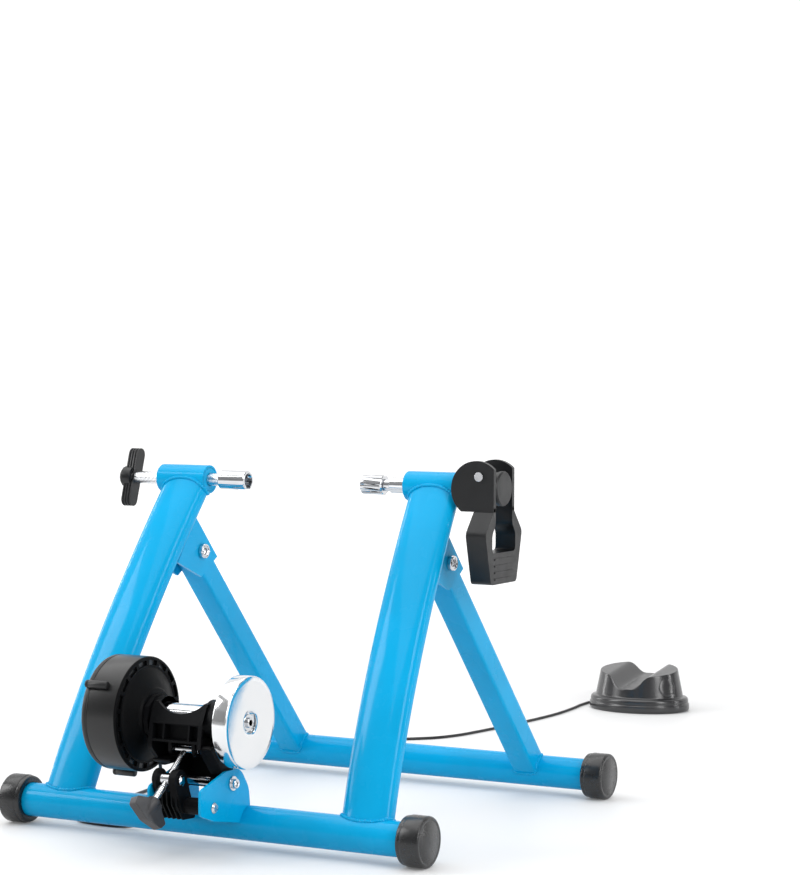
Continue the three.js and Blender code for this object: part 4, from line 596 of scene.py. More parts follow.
# %% Loft and cope
def ring_of(shape, count):
    return bmesh.ops.create_circle(shape, cap_ends=False, radius=1, segments=count)["verts"]


def squared(share, power):
    """A sine or cosine raised to a power, which turns a circle into a rounded square."""
    return math.copysign(abs(share) ** power, share)


def oval(shape, middle, wide, deep, half_width, half_depth, power=0.82, count=64):
    """A ring of vertices round a point of the drawing: a rounded square, drawn out wide and deep."""
    ring = ring_of(shape, count)
    for vert in ring:
        across, through = squared(vert.co.x, power) * half_width, squared(vert.co.y, power) * half_depth
        vert.co = middle + wide * across + deep * through
    return ring


def edges_of(ring):
    edges = [edge for vert in ring for edge in vert.link_edges if edge.other_vert(vert) in ring]
    return list(dict.fromkeys(edges))


def bridged(shape, rings, closed=False):
    """Skins a row of rings."""
    loops = [edges_of(ring) for ring in rings]
    for first, second in zip(loops, loops[1:] + (loops[:1] if closed else [])):
        bmesh.ops.bridge_loops(shape, edges=first + second)


def capped(shape, rings):
    """Skins a row of rings and closes both ends."""
    bridged(shape, rings)
    for ring in (rings[0], rings[-1]):
        bmesh.ops.edgeloop_fill(shape, edges=edges_of(ring))


def coped(ring, way, centre, radius):
    """Slides each vertex along a way until it lies on a round pipe along X."""
    flat = Vector((0, way.y, way.z))
    steep = flat.length
    flat.normalize()
    for vert in ring:
        off = Vector((0, vert.co.y - centre[0], vert.co.z - centre[1]))
        near = off.dot(flat)
        slide = -near - math.sqrt(max(near ** 2 - off.length_squared + radius ** 2, 0))
        vert.co += way * (slide / steep)


def finished(shape):
    """From the drawing's millimetres to the scene's metres, with its faces outwards."""
    bmesh.ops.scale(shape, vec=(MM, MM, MM), verts=shape.verts)
    bmesh.ops.translate(shape, vec=at(0, 0, 0), verts=shape.verts)
    bmesh.ops.recalc_face_normals(shape, faces=shape.faces)
    return shape


# %% Leg shape
AXLE_Z = 387
BARREL_RADIUS = 17
LEG_HALF_WIDTH = 30
LEG_HALF_DEPTH = 15
LEG_BASE_X = 195
LEG_TOP_X = 167
BASE_LEAN = 0.405
TOP_LEAN = 0.75
LEG_STATIONS = 26
FIRST_SHARE, LAST_SHARE = 0.1, 0.94
FOOT_AIM, HEAD_AIM = 0.02, 0.98
WELD_DEPTH = 0.4
leg_rise = AXLE_Z - TUBE_Z
bend_rise = (-REAR_Y - TOP_LEAN * leg_rise) / (BASE_LEAN - TOP_LEAN)
bend_out = LEG_BASE_X + (LEG_TOP_X - LEG_BASE_X) * bend_rise / leg_rise


def leg_station(side, t):
    """Middle, way, and the two cross directions of the leg at a share of its length."""
    foot = Vector((side * LEG_BASE_X, REAR_Y, TUBE_Z))
    bend = Vector((side * bend_out, BASE_LEAN * bend_rise + REAR_Y, TUBE_Z + bend_rise))
    head = Vector((side * LEG_TOP_X, 0, AXLE_Z))
    middle = foot * (1 - t) ** 2 + bend * 2 * t * (1 - t) + head * t ** 2
    way = ((bend - foot) * (1 - t) + (head - bend) * t).normalized()
    wide = (ALONG_X - way * way.x).normalized()
    return middle, way, wide, way.cross(wide)


def leg_ends(side):
    """For the foot and the head: share of the length, way into the pipe, and the pipe's place and radius."""
    return ((FIRST_SHARE, -leg_station(side, FOOT_AIM)[1], (REAR_Y, TUBE_Z), TUBE_RADIUS),
            (LAST_SHARE, leg_station(side, HEAD_AIM)[1], (0, AXLE_Z), BARREL_RADIUS))


for side, word in SIDES:
    tube = bmesh.new()
    rings = []
    for i in range(LEG_STATIONS):
        share = FIRST_SHARE + (LAST_SHARE - FIRST_SHARE) * i / (LEG_STATIONS - 1)
        middle, way, wide, deep = leg_station(side, share)
        rings.append(oval(tube, middle, wide, deep, LEG_HALF_WIDTH, LEG_HALF_DEPTH))
    for ring, (share, way, centre, radius) in zip((rings[0], rings[-1]), leg_ends(side)):
        coped(ring, way, centre, radius - WELD_DEPTH)
    bridged(tube, rings)
    for ring in (rings[0], rings[-1]):
        for i in range(len(ring) // 2):
            strip = (ring[i], ring[i + 1], ring[-i - 1], ring[-i])
            tube.faces.new(list(dict.fromkeys(strip)))
    piece("main_leg_" + word + "_tube", finished(tube), "main_leg_" + word)
print("leg bend", round(bend_rise, 1), "mm above the rear tube")

# %% [markdown]
# ## Weld beads
# Where a leg meets a pipe the welder ran a bead round it, and the paint keeps its ripples. A bead is a thin ring
# swept along the seam, a little thicker every few millimetres.

# %% Bead along a seam
BEAD_RADIUS = 1.9
BEAD_RIPPLE = 0.35
RIPPLE_LENGTH = 3.2
BEAD_SIDE = Vector((0.3, 0.2, 0.93))
BEAD_RISE = 0.3
BEAD_SPREAD = 0.4
SEAM_STEPS = 150


def bead(name, seam, body):
    """Sweeps a rippled bead along a closed row of points of the drawing."""
    shape = bmesh.new()
    run, rings = 0, []
    for i, spot in enumerate(seam):
        way = (seam[(i + 1) % len(seam)] - seam[i - 1]).normalized()
        run += (spot - seam[i - 1]).length
        out = (BEAD_SIDE - way * way.dot(BEAD_SIDE)).normalized()
        reach = BEAD_RADIUS + BEAD_RIPPLE * math.sin(2 * math.pi * run / RIPPLE_LENGTH)
        rings.append(oval(shape, spot, out, way.cross(out), reach, reach, 1, 8))
    bridged(shape, rings, closed=True)
    piece(name, finished(shape), body=body, slot="paint")


def seam_of(way, centre, radius, *ring, power=0.82):
    """The closed curve on which an oval ring meets a pipe."""
    shape = bmesh.new()
    verts = oval(shape, *ring, power, SEAM_STEPS)
    coped(verts, way, centre, radius + BEAD_RISE)
    seam = [vert.co.copy() for vert in verts]
    shape.free()
    return seam


for side, word in SIDES:
    for end, (share, heading, centre, radius) in zip(("foot", "head"), leg_ends(side)):
        middle, way, wide, deep = leg_station(side, share)
        seam = seam_of(heading, centre, radius, middle, wide, deep, LEG_HALF_WIDTH + BEAD_SPREAD,
                       LEG_HALF_DEPTH + BEAD_SPREAD)
        bead("leg_weld_" + word + "_" + end, seam, "frame")

# %% Front legs' beads
HINGE = (-2, 301)
FRONT_HALF = 15.2
FRONT_LIFT = 60
front_foot = Vector((0, FRONT_Y, TUBE_Z))
front_way = (front_foot - Vector((0, *HINGE))).normalized()
front_deep = Vector((0, -front_way.z, front_way.y))
for side, word in SIDES:
    start = front_foot + ALONG_X * side * LEG_TOP_X - front_way * FRONT_LIFT
    seam = seam_of(front_way, (FRONT_Y, TUBE_Z), TUBE_RADIUS, start, ALONG_X, front_deep, FRONT_HALF, FRONT_HALF,
                   power=0.32)
    bead("front_leg_weld_" + word, seam, "front_frame")

# %% [markdown]
# ## Drum
# The drum is a deep moulded cup, spun from one profile. Its face has a rim with a ring of vent slots, and rises
# inside it as a smooth cone. The faces where the slots are get deleted, and the edges left behind are extruded
# inwards, which gives each slot its wall.

# %% Drum housing
ROLLER = (ROLLER_Y, ROLLER_Z)
DRUM_STEPS = 144
VENTS = 18
VENT_DEPTH = 2.6
VENT_INNER, VENT_OUTER = 53.6, 59.2
DRUM_FACE = -57
WEB_SHARE = 0.18
HOUSING_PROFILE = [
    (60, -96), (DRUM_RADIUS, -96), (DRUM_RADIUS, -95.4), (62.4, -95), (62.4, -94.2), (DRUM_RADIUS, -93.8),
    (DRUM_RADIUS, -59.4), (62.8, -58.6), (62.2, -57.7), (61.3, -57.1), (60.2, DRUM_FACE), (VENT_OUTER, DRUM_FACE),
    (VENT_INNER, DRUM_FACE), (52.6, DRUM_FACE), (51.9, -57.5), (51, -57.5), (50.2, -56.9), (45, -54.6), (38, -51.4),
    (32, -48.7), (30.2, -47.9), (29.4, -47.2), (28.7, -46.3), (27.8, -46), (7, -46), (7, -49), (27, -49), (50, -60),
    (60, -60), (60, -96),
]
drum = turned(HOUSING_PROFILE, ROLLER, DRUM_STEPS)
drum_axis = at(0, *ROLLER)
slots = []
for face in drum.faces:
    spot = face.calc_center_median() - drum_axis
    reach = math.hypot(spot.y, spot.z) / MM
    turn = (math.atan2(spot.z, spot.y) / (2 * math.pi) * VENTS + 0.5) % 1
    on_rim = abs(spot.x / MM - DRUM_FACE) < 0.2 and VENT_INNER < reach < VENT_OUTER
    if on_rim and WEB_SHARE < turn < 1 - WEB_SHARE:
        slots.append(face)
bmesh.ops.delete(drum, geom=slots, context="FACES")
rims = [edge for edge in drum.edges if edge.is_boundary]
walls = bmesh.ops.extrude_edge_only(drum, edges=rims)["geom"]
bmesh.ops.translate(drum, vec=ALONG_X * -VENT_DEPTH * MM, verts=verts_in(walls))
bmesh.ops.recalc_face_normals(drum, faces=drum.faces)
piece("drum_shell", drum, "drum_housing", finish=drum_finish)
print(len(slots), "faces opened for", VENTS, "vents")

# %% Drum cover and its screw bosses
COVER_PROFILE = [
    (0, -103), (16, -103), (17, -102.4), (52, -102.4), (53, -103), (58, -103), (60.4, -102.5), (62, -101.3),
    (62.8, -99.6), (DRUM_RADIUS, -98), (DRUM_RADIUS, -96.3), (60, -96.3), (60, -97), (8, -97), (8, -89), (0, -89),
]
piece("drum_back", turned(COVER_PROFILE, ROLLER, DRUM_STEPS), "drum_cover")
BOSS_PROFILE = [(0, -100.4), (3.2, -100.4), (4.2, -99.8), (4.5, -98.8), (4.5, -96.6), (4.2, -96.2), (4.2, -95.8),
                (4.5, -95.4), (4.5, -73.4), (4.1, -72.5), (3.3, -72.1), (0, -72)]
BOSS_ANGLES = (146, 268, 30)
BOSS_REACH = 65.5
bosses = []
for angle in map(math.radians, BOSS_ANGLES):
    spot = (ROLLER_Y + BOSS_REACH * math.cos(angle), ROLLER_Z + BOSS_REACH * math.sin(angle))
    bosses.append(turned(BOSS_PROFILE, spot, 28))
piece("drum_screw_bosses", together(bosses), body="unit", slot="black")

# %% [markdown]
# ## Flywheel
# The flywheel is a chromed steel disc: a broad rim with eased edges, a face that falls slightly to the middle,
# and a stepped recess for its bolt.

# %% Flywheel
FLYWHEEL_PROFILE = [
    (5.3, 56), (11, 56), (13, 59), (15.7, 61), (40, 61), (42, 59.5), (43, 57.4), (44, 57), (48.4, 57),
    (49.3, 57.3), (49.8, 57.9), (50, 58.8), (50, 73), (49.8, 73.9), (49.2, 74.6), (48.2, 74.9), (44, 75),
    (16, 74.7), (12.8, 74.6), (12.3, 74.3), (12.2, 73.8), (12.2, 71), (5.3, 71), (5.3, 56),
]
piece("flywheel_disc", turned(FLYWHEEL_PROFILE, ROLLER, 160), "flywheel", finish=flywheel_finish)

# %% [markdown]
# ## Slabs and bolts
# A slab is an outline with rounded corners, filled round its windows and pulled out to its thickness, with pockets
# sunk from one side. A bolt is a row of rings along X, skinned in one go: round for its shank and head,
# six-sided for its socket.

# %% Outlines
def arced(corners, steps=5):
    """Rounds an outline's corners: each one is (u, v), or (u, v, size) to cut it back and curve it."""
    line = []
    for i, corner in enumerate(corners):
        here = Vector(corner[:2])
        if len(corner) == 2:
            line.append(tuple(here))
            continue
        back = Vector(corners[i - 1][:2]) - here
        ahead = Vector(corners[(i + 1) % len(corners)][:2]) - here
        start = here + back.normalized() * min(corner[2], back.length * 0.48)
        end = here + ahead.normalized() * min(corner[2], ahead.length * 0.48)
        for step in range(steps + 1):
            t = step / steps
            line.append(tuple(start * (1 - t) ** 2 + here * 2 * t * (1 - t) + end * t ** 2))
    return line


def round_arc(centre, radius, first, last, steps=20):
    """Points on an arc between two angles in degrees."""
    angles = [math.radians(first + (last - first) * i / steps) for i in range(steps + 1)]
    return [(centre[0] + radius * math.cos(angle), centre[1] + radius * math.sin(angle)) for angle in angles]


def hole(centre, radius):
    return round_arc(centre, radius, 0, 345, 23)


# %% Slab
def slab(spot, outline, low, high, windows=(), pockets=(), floor=None):
    """A plate in metres; spot turns (u, v, level) in millimetres into a point of the drawing."""
    shape = bmesh.new()

    def drawn(points):
        corners = [shape.verts.new(spot(u, v, low)) for u, v in points]
        return [shape.edges.new(pair) for pair in zip(corners, corners[1:] + corners[:1])]

    through = [edge for points in (outline, *windows) for edge in drawn(points)]
    blind = [edge for points in pockets for edge in drawn(points)]
    bmesh.ops.triangle_fill(shape, use_beauty=True, edges=through + blind)
    for edges, level in ((through, high), (blind, floor)):
        if edges:
            grown = bmesh.ops.extrude_edge_only(shape, edges=edges)["geom"]
            rise = spot(0, 0, level) - spot(0, 0, low)
            bmesh.ops.translate(shape, vec=rise, verts=verts_in(grown))
            open_edges = [part for part in grown if isinstance(part, bmesh.types.BMEdge) and part.is_boundary]
            bmesh.ops.triangle_fill(shape, use_beauty=True, edges=open_edges)
    return finished(shape)


# %% Bolts
def bolt(name, node, centre, rows, start=0):
    """Rings of (radius, place along X), or (half the width over flats, place, 6) where the ring is six-sided."""
    shape = bmesh.new()
    rings = []
    for reach, along, *sides in rows:
        ring = ring_of(shape, 48)
        for vert in ring:
            angle = math.atan2(vert.co.y, vert.co.x)
            out = reach / (math.cos(angle % (math.pi / 3) - math.pi / 6) if sides else 1)
            vert.co = (start + along, centre[0] + out * math.cos(angle), centre[1] + out * math.sin(angle))
        rings.append(ring)
    capped(shape, rings)
    piece(name, finished(shape), node, bevel=0.15)


PIVOT = (-247, 76)
FLYWHEEL_BOLT = [
    (3, 57.3), (3, 71.3), (9, 71.3), (9.2, 71.5), (9.2, 72.4), (9, 72.6), (5.6, 72.6), (5.6, 74.7), (5.2, 75.1),
    (3.2, 75.1, 6), (2.9, 74.8, 6), (2.9, 72.9, 6), (0.6, 72.2),
]
PIVOT_BOLT = [
    (5, -24.6), (5, 50.3), (7.6, 50.3), (8, 50.6), (8, 51.8), (7.7, 52.1), (5.3, 52.1), (5.3, 55.7), (4.8, 56.2),
    (3.1, 56.2, 6), (2.8, 55.9, 6), (2.8, 53.2, 6), (0.6, 52.5),
]
HINGE_BOLT = [
    (5, 0), (5, 44.7), (8.2, 44.7), (8.8, 45.2), (8.8, 48.6), (8.2, 50), (7.3, 50.5), (6.5, 50.3), (6, 49.2),
    (4.4, 48.9, 6), (4.1, 48.6, 6), (4.1, 46.4, 6), (0.8, 45.6),
]
bolt("flywheel_cap_screw", "flywheel_bolt", ROLLER, FLYWHEEL_BOLT)
bolt("pivot_cap_screw", "pivot_bolt", PIVOT, PIVOT_BOLT)
bolt("hinge_bolt_right_socket_head", "hinge_bolt_right", HINGE, HINGE_BOLT, 140.9)
bolt("hinge_bolt_left_socket_head", "hinge_bolt_left", HINGE, HINGE_BOLT, -193.1)

# %% [markdown]
# ## Bracket of the brake unit
# The bracket is one black moulding: two cheeks, a saddle wall cut in an arc over the roller, two ribs and a shelf
# in the hollow below it, a front wall, and a thick leg on the right that reaches the pivot.

# %% Bracket
SADDLE_LOW = 7
SADDLE_RADIUS = 43.7
SADDLE_MIDDLE = -2
BACK_LINE = ((19, -17.5), (8, -23), (-2, -28), (-16, -30), (-29.5, -31.5))


def back_of(height):
    """How far behind the roller the bracket's back lies at a height over the roller's axis."""
    for (top, near), (base, far) in zip(BACK_LINE, BACK_LINE[1:]):
        if height >= base:
            return near + (far - near) * (top - height) / (top - base)
    return BACK_LINE[-1][1]


def sideways(u, v, level):
    return Vector((level, ROLLER_Y + u, ROLLER_Z + v))


def upright_wall(u, v, level):
    return Vector((u, ROLLER_Y + back_of(v) + level, ROLLER_Z + v))


def level_plate(u, v, level):
    return Vector((u, ROLLER_Y + v, ROLLER_Z + level))


AXIS = (0, 0)
PIVOT_HOLE = (3, -67.5)
PIN_HOLE = (-13, -32.5)
CHEEK_LEFT, CHEEK_RIGHT = -31.3, 26.9
BEARING_BORE = 11.3
crown = round_arc(AXIS, 21.5, 30, 116)
back = [(-17.5, 19, 1.5), (-23, 8, 3), (-28, -2, 4), (-30, -16), (-31.5, -29.5, 3)]
front = [(21, -45, 3), (20, -15, 6)]
left_foot = [(-8.5, -53, 3), (16, -53, 3)]
right_foot = round_arc(PIVOT_HOLE, 9, 122, 360)
thick_back = arced([(-27.5, -23, 3), (-31.5, -29.5, 3)])
thick_front = arced([(20, -43, 3), (15, -23, 4)])
saddle = [(x, SADDLE_LOW + SADDLE_RADIUS - math.sqrt(SADDLE_RADIUS ** 2 - (x - SADDLE_MIDDLE) ** 2))
          for x in [CHEEK_LEFT + (CHEEK_RIGHT - CHEEK_LEFT) * i / 30 for i in range(31)]]
rib = [(-27.8, -2.5), (-29.7, -16), (-30.2, -21), (-18, -21), (-16, -2.5)]
boot = [(-12, -45)] + round_arc(PIVOT_HOLE, 11, 180, 360) + [(20, -45)]
lug = [(-20.5, -22)] + round_arc(PIN_HOLE, 7.5, 180, 360) + [(-5.5, -22)]
flange = arced([(-9, 23, 2), (-24, 12, 2), (-26.5, -3, 2), (-24, -16, 2), (-9, -25, 2), (9, -25, 2), (22, -16, 2),
                (25, 0, 2), (22, 14, 2), (9, 23, 2)])
LEFT_HUB = [(BEARING_BORE, -41), (21.5, -41), (21.5, -31), (15.6, -31), (BEARING_BORE, -31.2), (BEARING_BORE, -41)]
RIGHT_HUB = [(BEARING_BORE, 26.5), (21.5, 26.5), (21.5, 31), (25.6, 46.2), (26.4, 46.6), (26.4, 48.6),
             (27.1, 49), (27.5, 49.6), (27.5, 54), (27, 54.6), (BEARING_BORE, 54.6), (BEARING_BORE, 26.5)]
PIVOT_COLLAR = [(5.3, 42.6), (9, 42.6), (9, 46.4), (8.7, 46.7), (5.3, 46.7), (5.3, 42.6)]


def across(y_low, y_high):
    """An outline that reaches from cheek to cheek."""
    return [(CHEEK_LEFT, y_low), (CHEEK_RIGHT, y_low), (CHEEK_RIGHT, y_high), (CHEEK_LEFT, y_high)]


bracket = [
    slab(sideways, crown + arced(back + left_foot + front), -36, -31),
    slab(sideways, crown + arced(back) + right_foot + arced(front), 26.5, 31.5, [hole(PIVOT_HOLE, 5.3)]),
    slab(sideways, thick_back + right_foot + thick_front, 31.2, 43, [hole(PIVOT_HOLE, 5.3)]),
    slab(upright_wall, [(CHEEK_RIGHT, -3), (CHEEK_LEFT, -3)] + saddle, 0, 4),
    slab(level_plate, across(-27.6, -16), -4.2, -2.4),
    slab(upright_wall, across(-22.5, -3), 9.5, 12),
    slab(level_plate, arced([(CHEEK_LEFT, -30.9, 0.5), (CHEEK_RIGHT, -30.9, 0.5)] + across(-30.9, -12)[2:]), -23,
         -20.6),
    slab(sideways, rib, -18.4, -16.2),
    slab(sideways, rib, 13.8, 16),
    slab(sideways, [(20, -15), (21, -45), (17, -45), (16, -15)], CHEEK_LEFT, CHEEK_RIGHT),
    slab(sideways, [(21, -44.5), (17.8, -58), (12.5, -76), (9, -75), (13.8, -57.5), (17, -45.5)],
         -14.7, CHEEK_RIGHT),
    slab(sideways, arced([(-30, -42.5, 2), (-26, -46.5, 2), (20, -46.5), (20, -42.5)]), CHEEK_LEFT, -9.7),
    slab(sideways, boot, -14.7, -9.7, [hole(PIVOT_HOLE, 5.3)]),
    slab(sideways, lug, -13, -17, [hole(PIN_HOLE, 4.1)]),
    slab(sideways, lug, 13, 17, [hole(PIN_HOLE, 4.1)]),
    slab(sideways, flange, -45.4, -40, [hole(AXIS, BEARING_BORE)]),
    turned(LEFT_HUB, ROLLER, 72),
    turned(RIGHT_HUB, ROLLER, 96),
    turned(PIVOT_COLLAR, PIVOT, 40),
]
piece("unit_bracket_moulding", together(bracket), "unit_yoke", finish=finishes["unit"], bevel=0.45)
print(len(bracket), "shapes in the bracket")

# %% [markdown]
# ## Clamp lever
# The lever's two round cheeks lie in line with its pin. Its grip is one deep frame with a window, a hollow and four
# low ribs for the thumb.

# %% Lever
LEVER_BACK = 227
LEVER_FACE = 252
HEAD_AXIS = 230
LEVER_PIN = (234, 13.9)


def facing_out(u, v, level):
    return Vector((level, u, AXLE_Z + v))


def facing_back(u, v, level):
    return Vector((u, level, AXLE_Z + v))


grip_outline = arced([
    (-25.7, -21), (-25.7, -25.3), (-46, -49, 5), (-32, -106, 5), (32, -106, 5), (46, -49, 5), (25.7, -25.3),
    (25.7, -21), (20.8, -21), (20.8, -40, 5), (29, -50, 5), (29, -71, 6), (-29, -71, 6), (-29, -50, 5),
    (-20.8, -40, 5), (-20.8, -21),
])
hollow = arced([(-34, -75, 2), (-28, -102, 2), (28, -102, 2), (34, -75, 2)])
lever = [slab(facing_out, grip_outline, LEVER_BACK, LEVER_FACE, (), [hollow], LEVER_FACE - 4)]
for high in (-77, -84.4, -91.8, -99.2):
    low = high - 2.2
    thumb_rib = arced([(-23, high, 1), (23, high, 1), (23, low, 1), (-23, low, 1)])
    lever.append(slab(facing_out, thumb_rib, LEVER_FACE - 1, LEVER_FACE + 0.7))
cheek = round_arc((HEAD_AXIS, 0), 31.5, 45.7, 233.4, 48) + arced([(LEVER_FACE, -25.3, 1)])
for side, word in SIDES:
    lever.append(slab(facing_back, cheek, side * 20.5, side * 26, [hole(LEVER_PIN, 4.2)]))
piece("clamp_lever_moulding", together(lever), "clamp_lever", bevel=0.7)

# %% [markdown]
# ## Front wheel block
# The block tapers from a stepped lip to a saddle-shaped valley on top. It is spun with many fine levels and
# squashed to an oval, and every vertex that would stand above the valley's surface is lowered onto it. A soft
# minimum rounds the rim where the two surfaces meet.

# %% Valley surface
BLOCK_Y = 978.5
BLOCK_SQUASH = 120 / 155
VALLEY_Z, HUMP_Z = 42, 60
VALLEY_HALF, HUMP_HALF = 8, 36
VALLEY_EASE, HUMP_EASE = 2.6, 1.6
SLOPE = math.radians(8)
RIM_ROUND = 2.6


def hump_height(x):
    """Height of the valley's cross-section at a distance from the middle: a bent ramp between two levels."""
    x = abs(x)
    if x <= VALLEY_HALF:
        return VALLEY_Z
    if x >= HUMP_HALF:
        return HUMP_Z
    low, high = 0, 1
    for _ in range(24):
        t = (low + high) / 2
        reach = (VALLEY_HALF * (1 - t) ** 3 + 3 * VALLEY_HALF * VALLEY_EASE * t * (1 - t) ** 2
                 + 3 * HUMP_HALF / HUMP_EASE * t ** 2 * (1 - t) + HUMP_HALF * t ** 3)
        low, high = (t, high) if reach < x else (low, t)
    return VALLEY_Z + (HUMP_Z - VALLEY_Z) * (3 * t ** 2 - 2 * t ** 3)


def lowered(z, surface):
    """The lower of two heights, rounded where they are close."""
    near = max(RIM_ROUND - abs(z - surface), 0) / RIM_ROUND
    return min(z, surface) - near ** 2 * RIM_ROUND / 4


# %% Block body
WALL_REACH, WALL_DRAFT = 67.6, 9.1
WALL_LOW, WALL_RISE = 23, 45
WALL_LEVELS = 44
TOP_RINGS = 34
BLOCK_PROFILE = [
    (0, 0.3), (73, 0.3), (75.6, 0.9), (77, 2.2), (77.5, 4), (77.5, 9.6), (77.3, 10.6), (76.6, 11.4),
    (76, 12.2), (75.9, 13.2), (75.9, 16.2), (75.6, 17.8), (74.8, 19.2), (73.4, 20.4), (71.6, 21), (69.4, 21.3),
    (68.2, 21.9), (WALL_REACH, WALL_LOW),
]
for level in range(1, WALL_LEVELS + 1):
    share = level / WALL_LEVELS
    BLOCK_PROFILE.append((WALL_REACH - WALL_DRAFT * share, WALL_LOW + WALL_RISE * share))
for ring_index in range(1, TOP_RINGS + 1):
    BLOCK_PROFILE.append(((WALL_REACH - WALL_DRAFT) * (1 - ring_index / TOP_RINGS), WALL_LOW + WALL_RISE))


def upright(profile, steps):
    """Spins a profile of (radius, height) round the upright through the origin, in millimetres."""
    return spun([(radius, 0, height) for radius, height in profile], (0, 0, 0), ALONG_Z, steps, SPIN_MERGE)


block = upright(BLOCK_PROFILE, 168)
bmesh.ops.scale(block, vec=(1, BLOCK_SQUASH, 1), verts=block.verts)
for vert in block.verts:
    if vert.co.z > WALL_LOW + 0.5:
        hump = (hump_height(vert.co.x) - VALLEY_Z) / math.cos(SLOPE)
        vert.co.z = lowered(vert.co.z, VALLEY_Z + vert.co.y * math.tan(SLOPE) + hump)
bmesh.ops.translate(block, vec=(0, BLOCK_Y, 0), verts=block.verts)
piece("wheel_block_moulding", finished(block), "wheel_block", finish=finishes["block"])
print("block", len(BLOCK_PROFILE), "levels")

# %% Plain round panel on the block, bent to its wall
PANEL_PROFILE = [(0, 0.8), (4, 0.8), (8, 0.8), (12.8, 0.8), (13.5, 0.6), (13.9, 0.1), (14, -0.6), (14, -3)]
PANEL_TURN = math.radians(-30)
PANEL_Z = 38
PANEL_TILT = 0.16
PANEL_BEND_RADIUS = 52


def faced(shape, spot, way):
    """Moves a shape to a spot, with its upward side turned to a way."""
    place = Matrix.Translation(spot) @ way.to_track_quat("Z", "Y").to_matrix().to_4x4()
    bmesh.ops.transform(shape, matrix=place, verts=shape.verts)


panel = upright(PANEL_PROFILE, 64)
for vert in panel.verts:
    vert.co.z -= vert.co.x ** 2 / (2 * PANEL_BEND_RADIUS)
panel_reach = WALL_REACH - WALL_DRAFT * (PANEL_Z - WALL_LOW) / WALL_RISE
east, north = math.cos(PANEL_TURN), math.sin(PANEL_TURN)
panel_spot = Vector((panel_reach * east, BLOCK_Y + BLOCK_SQUASH * panel_reach * north, PANEL_Z))
faced(panel, panel_spot, Vector((BLOCK_SQUASH * east, north, PANEL_TILT)).normalized())
piece("wheel_block_panel", finished(panel), body="frame", slot="grey", finish=finishes["block"])

# %% [markdown]
# ## Tie on the spare cable
# A short strap holds the spare turns together.

# %% Cable tie
TIE_SPOT = Vector((COIL_CENTRE[0] + 23.2, COIL_CENTRE[1], 4.6))
TIE_HALF_WIDTH, TIE_HALF_HEIGHT = 8, 4.3
TIE_STEPS = 48
tie = bmesh.new()
rings = []
for i in range(TIE_STEPS):
    angle = 2 * math.pi * i / TIE_STEPS
    outwards = Vector((math.cos(angle), 0, math.sin(angle)))
    right, up = TIE_HALF_WIDTH * squared(outwards.x, 0.6), TIE_HALF_HEIGHT * squared(outwards.z, 0.6)
    spot = TIE_SPOT + ALONG_X * right + ALONG_Z * up
    rings.append(oval(tie, spot, outwards, Vector((0, 1, 0)), 0.45, 2.6, 0.4, 16))
bridged(tie, rings, closed=True)
cable_tie = piece("cable_tie", finished(tie), body="frame", slot="jacket")

# %% [markdown]
# ## The rest of the solids
# These copies keep the CAD form and only gain eased edges.

# %% Softened pieces
EDGES = {
    "axle_barrel_left": 0.5, "axle_barrel_right": 0.5, "hinge_bracket_left": 0.5, "hinge_bracket_right": 0.5,
    "front_leg_left": 0.3, "front_leg_right": 0.3, "hinge_nut_left": 0.5, "hinge_nut_right": 0.5,
    "adjust_screw": 0.3, "adjust_knob": 0.6, "left_cup": 0.3, "right_cup": 0.3, "clamp_spindle": 0.4,
    "clamp_head": 0.6, "lever_pin": 0.4, "pivot_plate_left": 0.4, "pivot_plate_right": 0.4, "pivot_nut": 0.4,
    "tension_base": 0.5, "base_rivet": 0.3, "roller": 0.4, "cross_pin": 0.4, "cable_gland": 0.3, "trunnion": 0.4,
    "tension_screw": 0.2, "tension_handle": 1.6, "screw_bush": 0.3, "guide_bush": 0.3, "remote_body": 0.6,
    "remote_knob": 0.8, "remote_strap": 0.4, "remote_lever": 0.5,
}
SPECIAL = {"tension_screw": tension_thread, "adjust_screw": adjust_thread, "tension_base": finishes["unit"],
           "screw_bush": finishes["paint"], "guide_bush": finishes["paint"]}
for node, edge in EDGES.items():
    softened(node, edge, SPECIAL.get(node))
print(len(EDGES), "softened pieces")

# %% [markdown]
# The drum swings a little when its screw is turned, and the cable's end goes with it. Here the cable's mesh is only
# baked where it lies, and the CAD cable's parts are hidden.

# %% Cable baked in place
at(*cable_exit)
at(cable_exit.x, cable_exit.y, 2.0 * CABLE_DIAMETER)
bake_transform(cable)
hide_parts("cable_run", "cable_coil", "cable_tail")
tuple(at(*cable_exit))

# %% [markdown]
# ## Stage and light
# The photograph was taken in a white studio. The floor and a tall curved wall glow a little, so they stay white up
# to the horizon. Large soft lights give the broad highlights, two narrow strips draw thin ones, and a grey flag
# near the camera gives the chrome something dark to mirror.

# %% Floor and wall
WHITE = (1, 1, 1, 1)
BLACK = (0, 0, 0, 1)
FLOOR_HALF = 9
ROOM_REACH = 6.5
ROOM_HEIGHT = 12
ROOM_TURN = 1.3


def staged(name, shape, finish):
    shown(name, shape, finish.material)


def plane(half):
    """A flat square, in metres."""
    shape = bmesh.new()
    bmesh.ops.create_grid(shape, x_segments=1, y_segments=1, size=half)
    return shape


floor_finish = Finish("floor", (0.68, 0.682, 0.685), 0.5)
floor_finish.set("Specular IOR Level", 0.25)
reach = floor_finish.vector("LENGTH", floor_finish.place, output="Value")
glow = floor_finish.smooth(reach, 0.5, 3, 0.1, 0.5)
floor_finish.set("Emission Color", floor_finish.mixed(glow, BLACK, WHITE))
floor_finish.set("Emission Strength", 1)
staged("floor", plane(FLOOR_HALF), floor_finish)

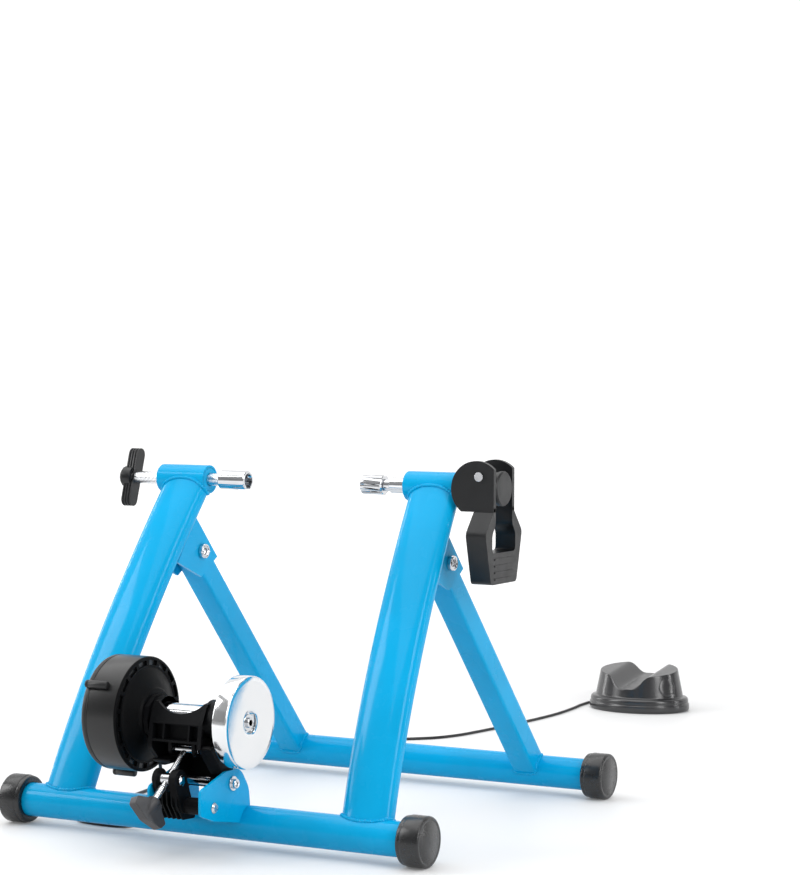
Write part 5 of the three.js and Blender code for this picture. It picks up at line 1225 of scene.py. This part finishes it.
wall_finish = Finish("wall", (0.4, 0.4, 0.4), 0.8)
wall_finish.set("Emission Color", WHITE)
wall_finish.set("Emission Strength", 0.75)
view_turn = math.atan2(-to_viewer.y, -to_viewer.x)
start = Vector((math.cos(view_turn - ROOM_TURN), math.sin(view_turn - ROOM_TURN), 0)) * ROOM_REACH
wall = bmesh.new()
ends = [wall.verts.new(start + ALONG_Z * height) for height in (-0.2, ROOM_HEIGHT)]
bmesh.ops.spin(wall, geom=[*ends, wall.edges.new(ends)], cent=(0, 0, 0), axis=ALONG_Z, angle=2 * ROOM_TURN,
               steps=48, use_merge=False, use_duplicate=False)
staged("wall", wall, wall_finish)

# %% Lights
FLAG_SIZE = (3, 1.2, 1)
FLAG_SPOT = Vector((-1.55, -2.85, 0.95))
flag = plane(0.5)
bmesh.ops.scale(flag, vec=FLAG_SIZE, verts=flag.verts)
faced(flag, FLAG_SPOT, -FLAG_SPOT)
staged("flag", flag, Finish("flag", (0.2, 0.2, 0.2), 0.9))

world = bpy.data.worlds.new("studio")
world.use_nodes = True
background = world.node_tree.nodes["Background"]
background.inputs["Color"].default_value = WHITE
background.inputs["Strength"].default_value = 0.42
bpy.context.scene.world = world


def softbox(name, place, target, size, power):
    lamp = bpy.data.lights.new(name, "AREA")
    lamp.shape = "RECTANGLE"
    lamp.size, lamp.size_y = size
    lamp.energy = power
    item = bpy.data.objects.new(name, lamp)
    item.location = place
    item.rotation_euler = (Vector(target) - Vector(place)).to_track_quat("-Z", "Y").to_euler()
    bpy.context.scene.collection.objects.link(item)


softbox("top", (-0.3, -0.5, 2.6), (0, -0.2, 0), (3.6, 3), 58)
softbox("right", (2.6, -1.4, 1.5), (0, -0.3, 0.2), (0.9, 2.2), 36)
softbox("left", (-2.4, -2, 1.5), (0, -0.4, 0.2), (1, 2.2), 44)
softbox("right strip", (3, 1.2, 0.8), (0.2, -0.2, 0.25), (0.18, 2.2), 18)
softbox("left strip", (-3, 0.3, 0.8), (-0.1, -0.2, 0.25), (0.14, 2.2), 11)
bpy.context.scene.view_settings.view_transform = "Standard"
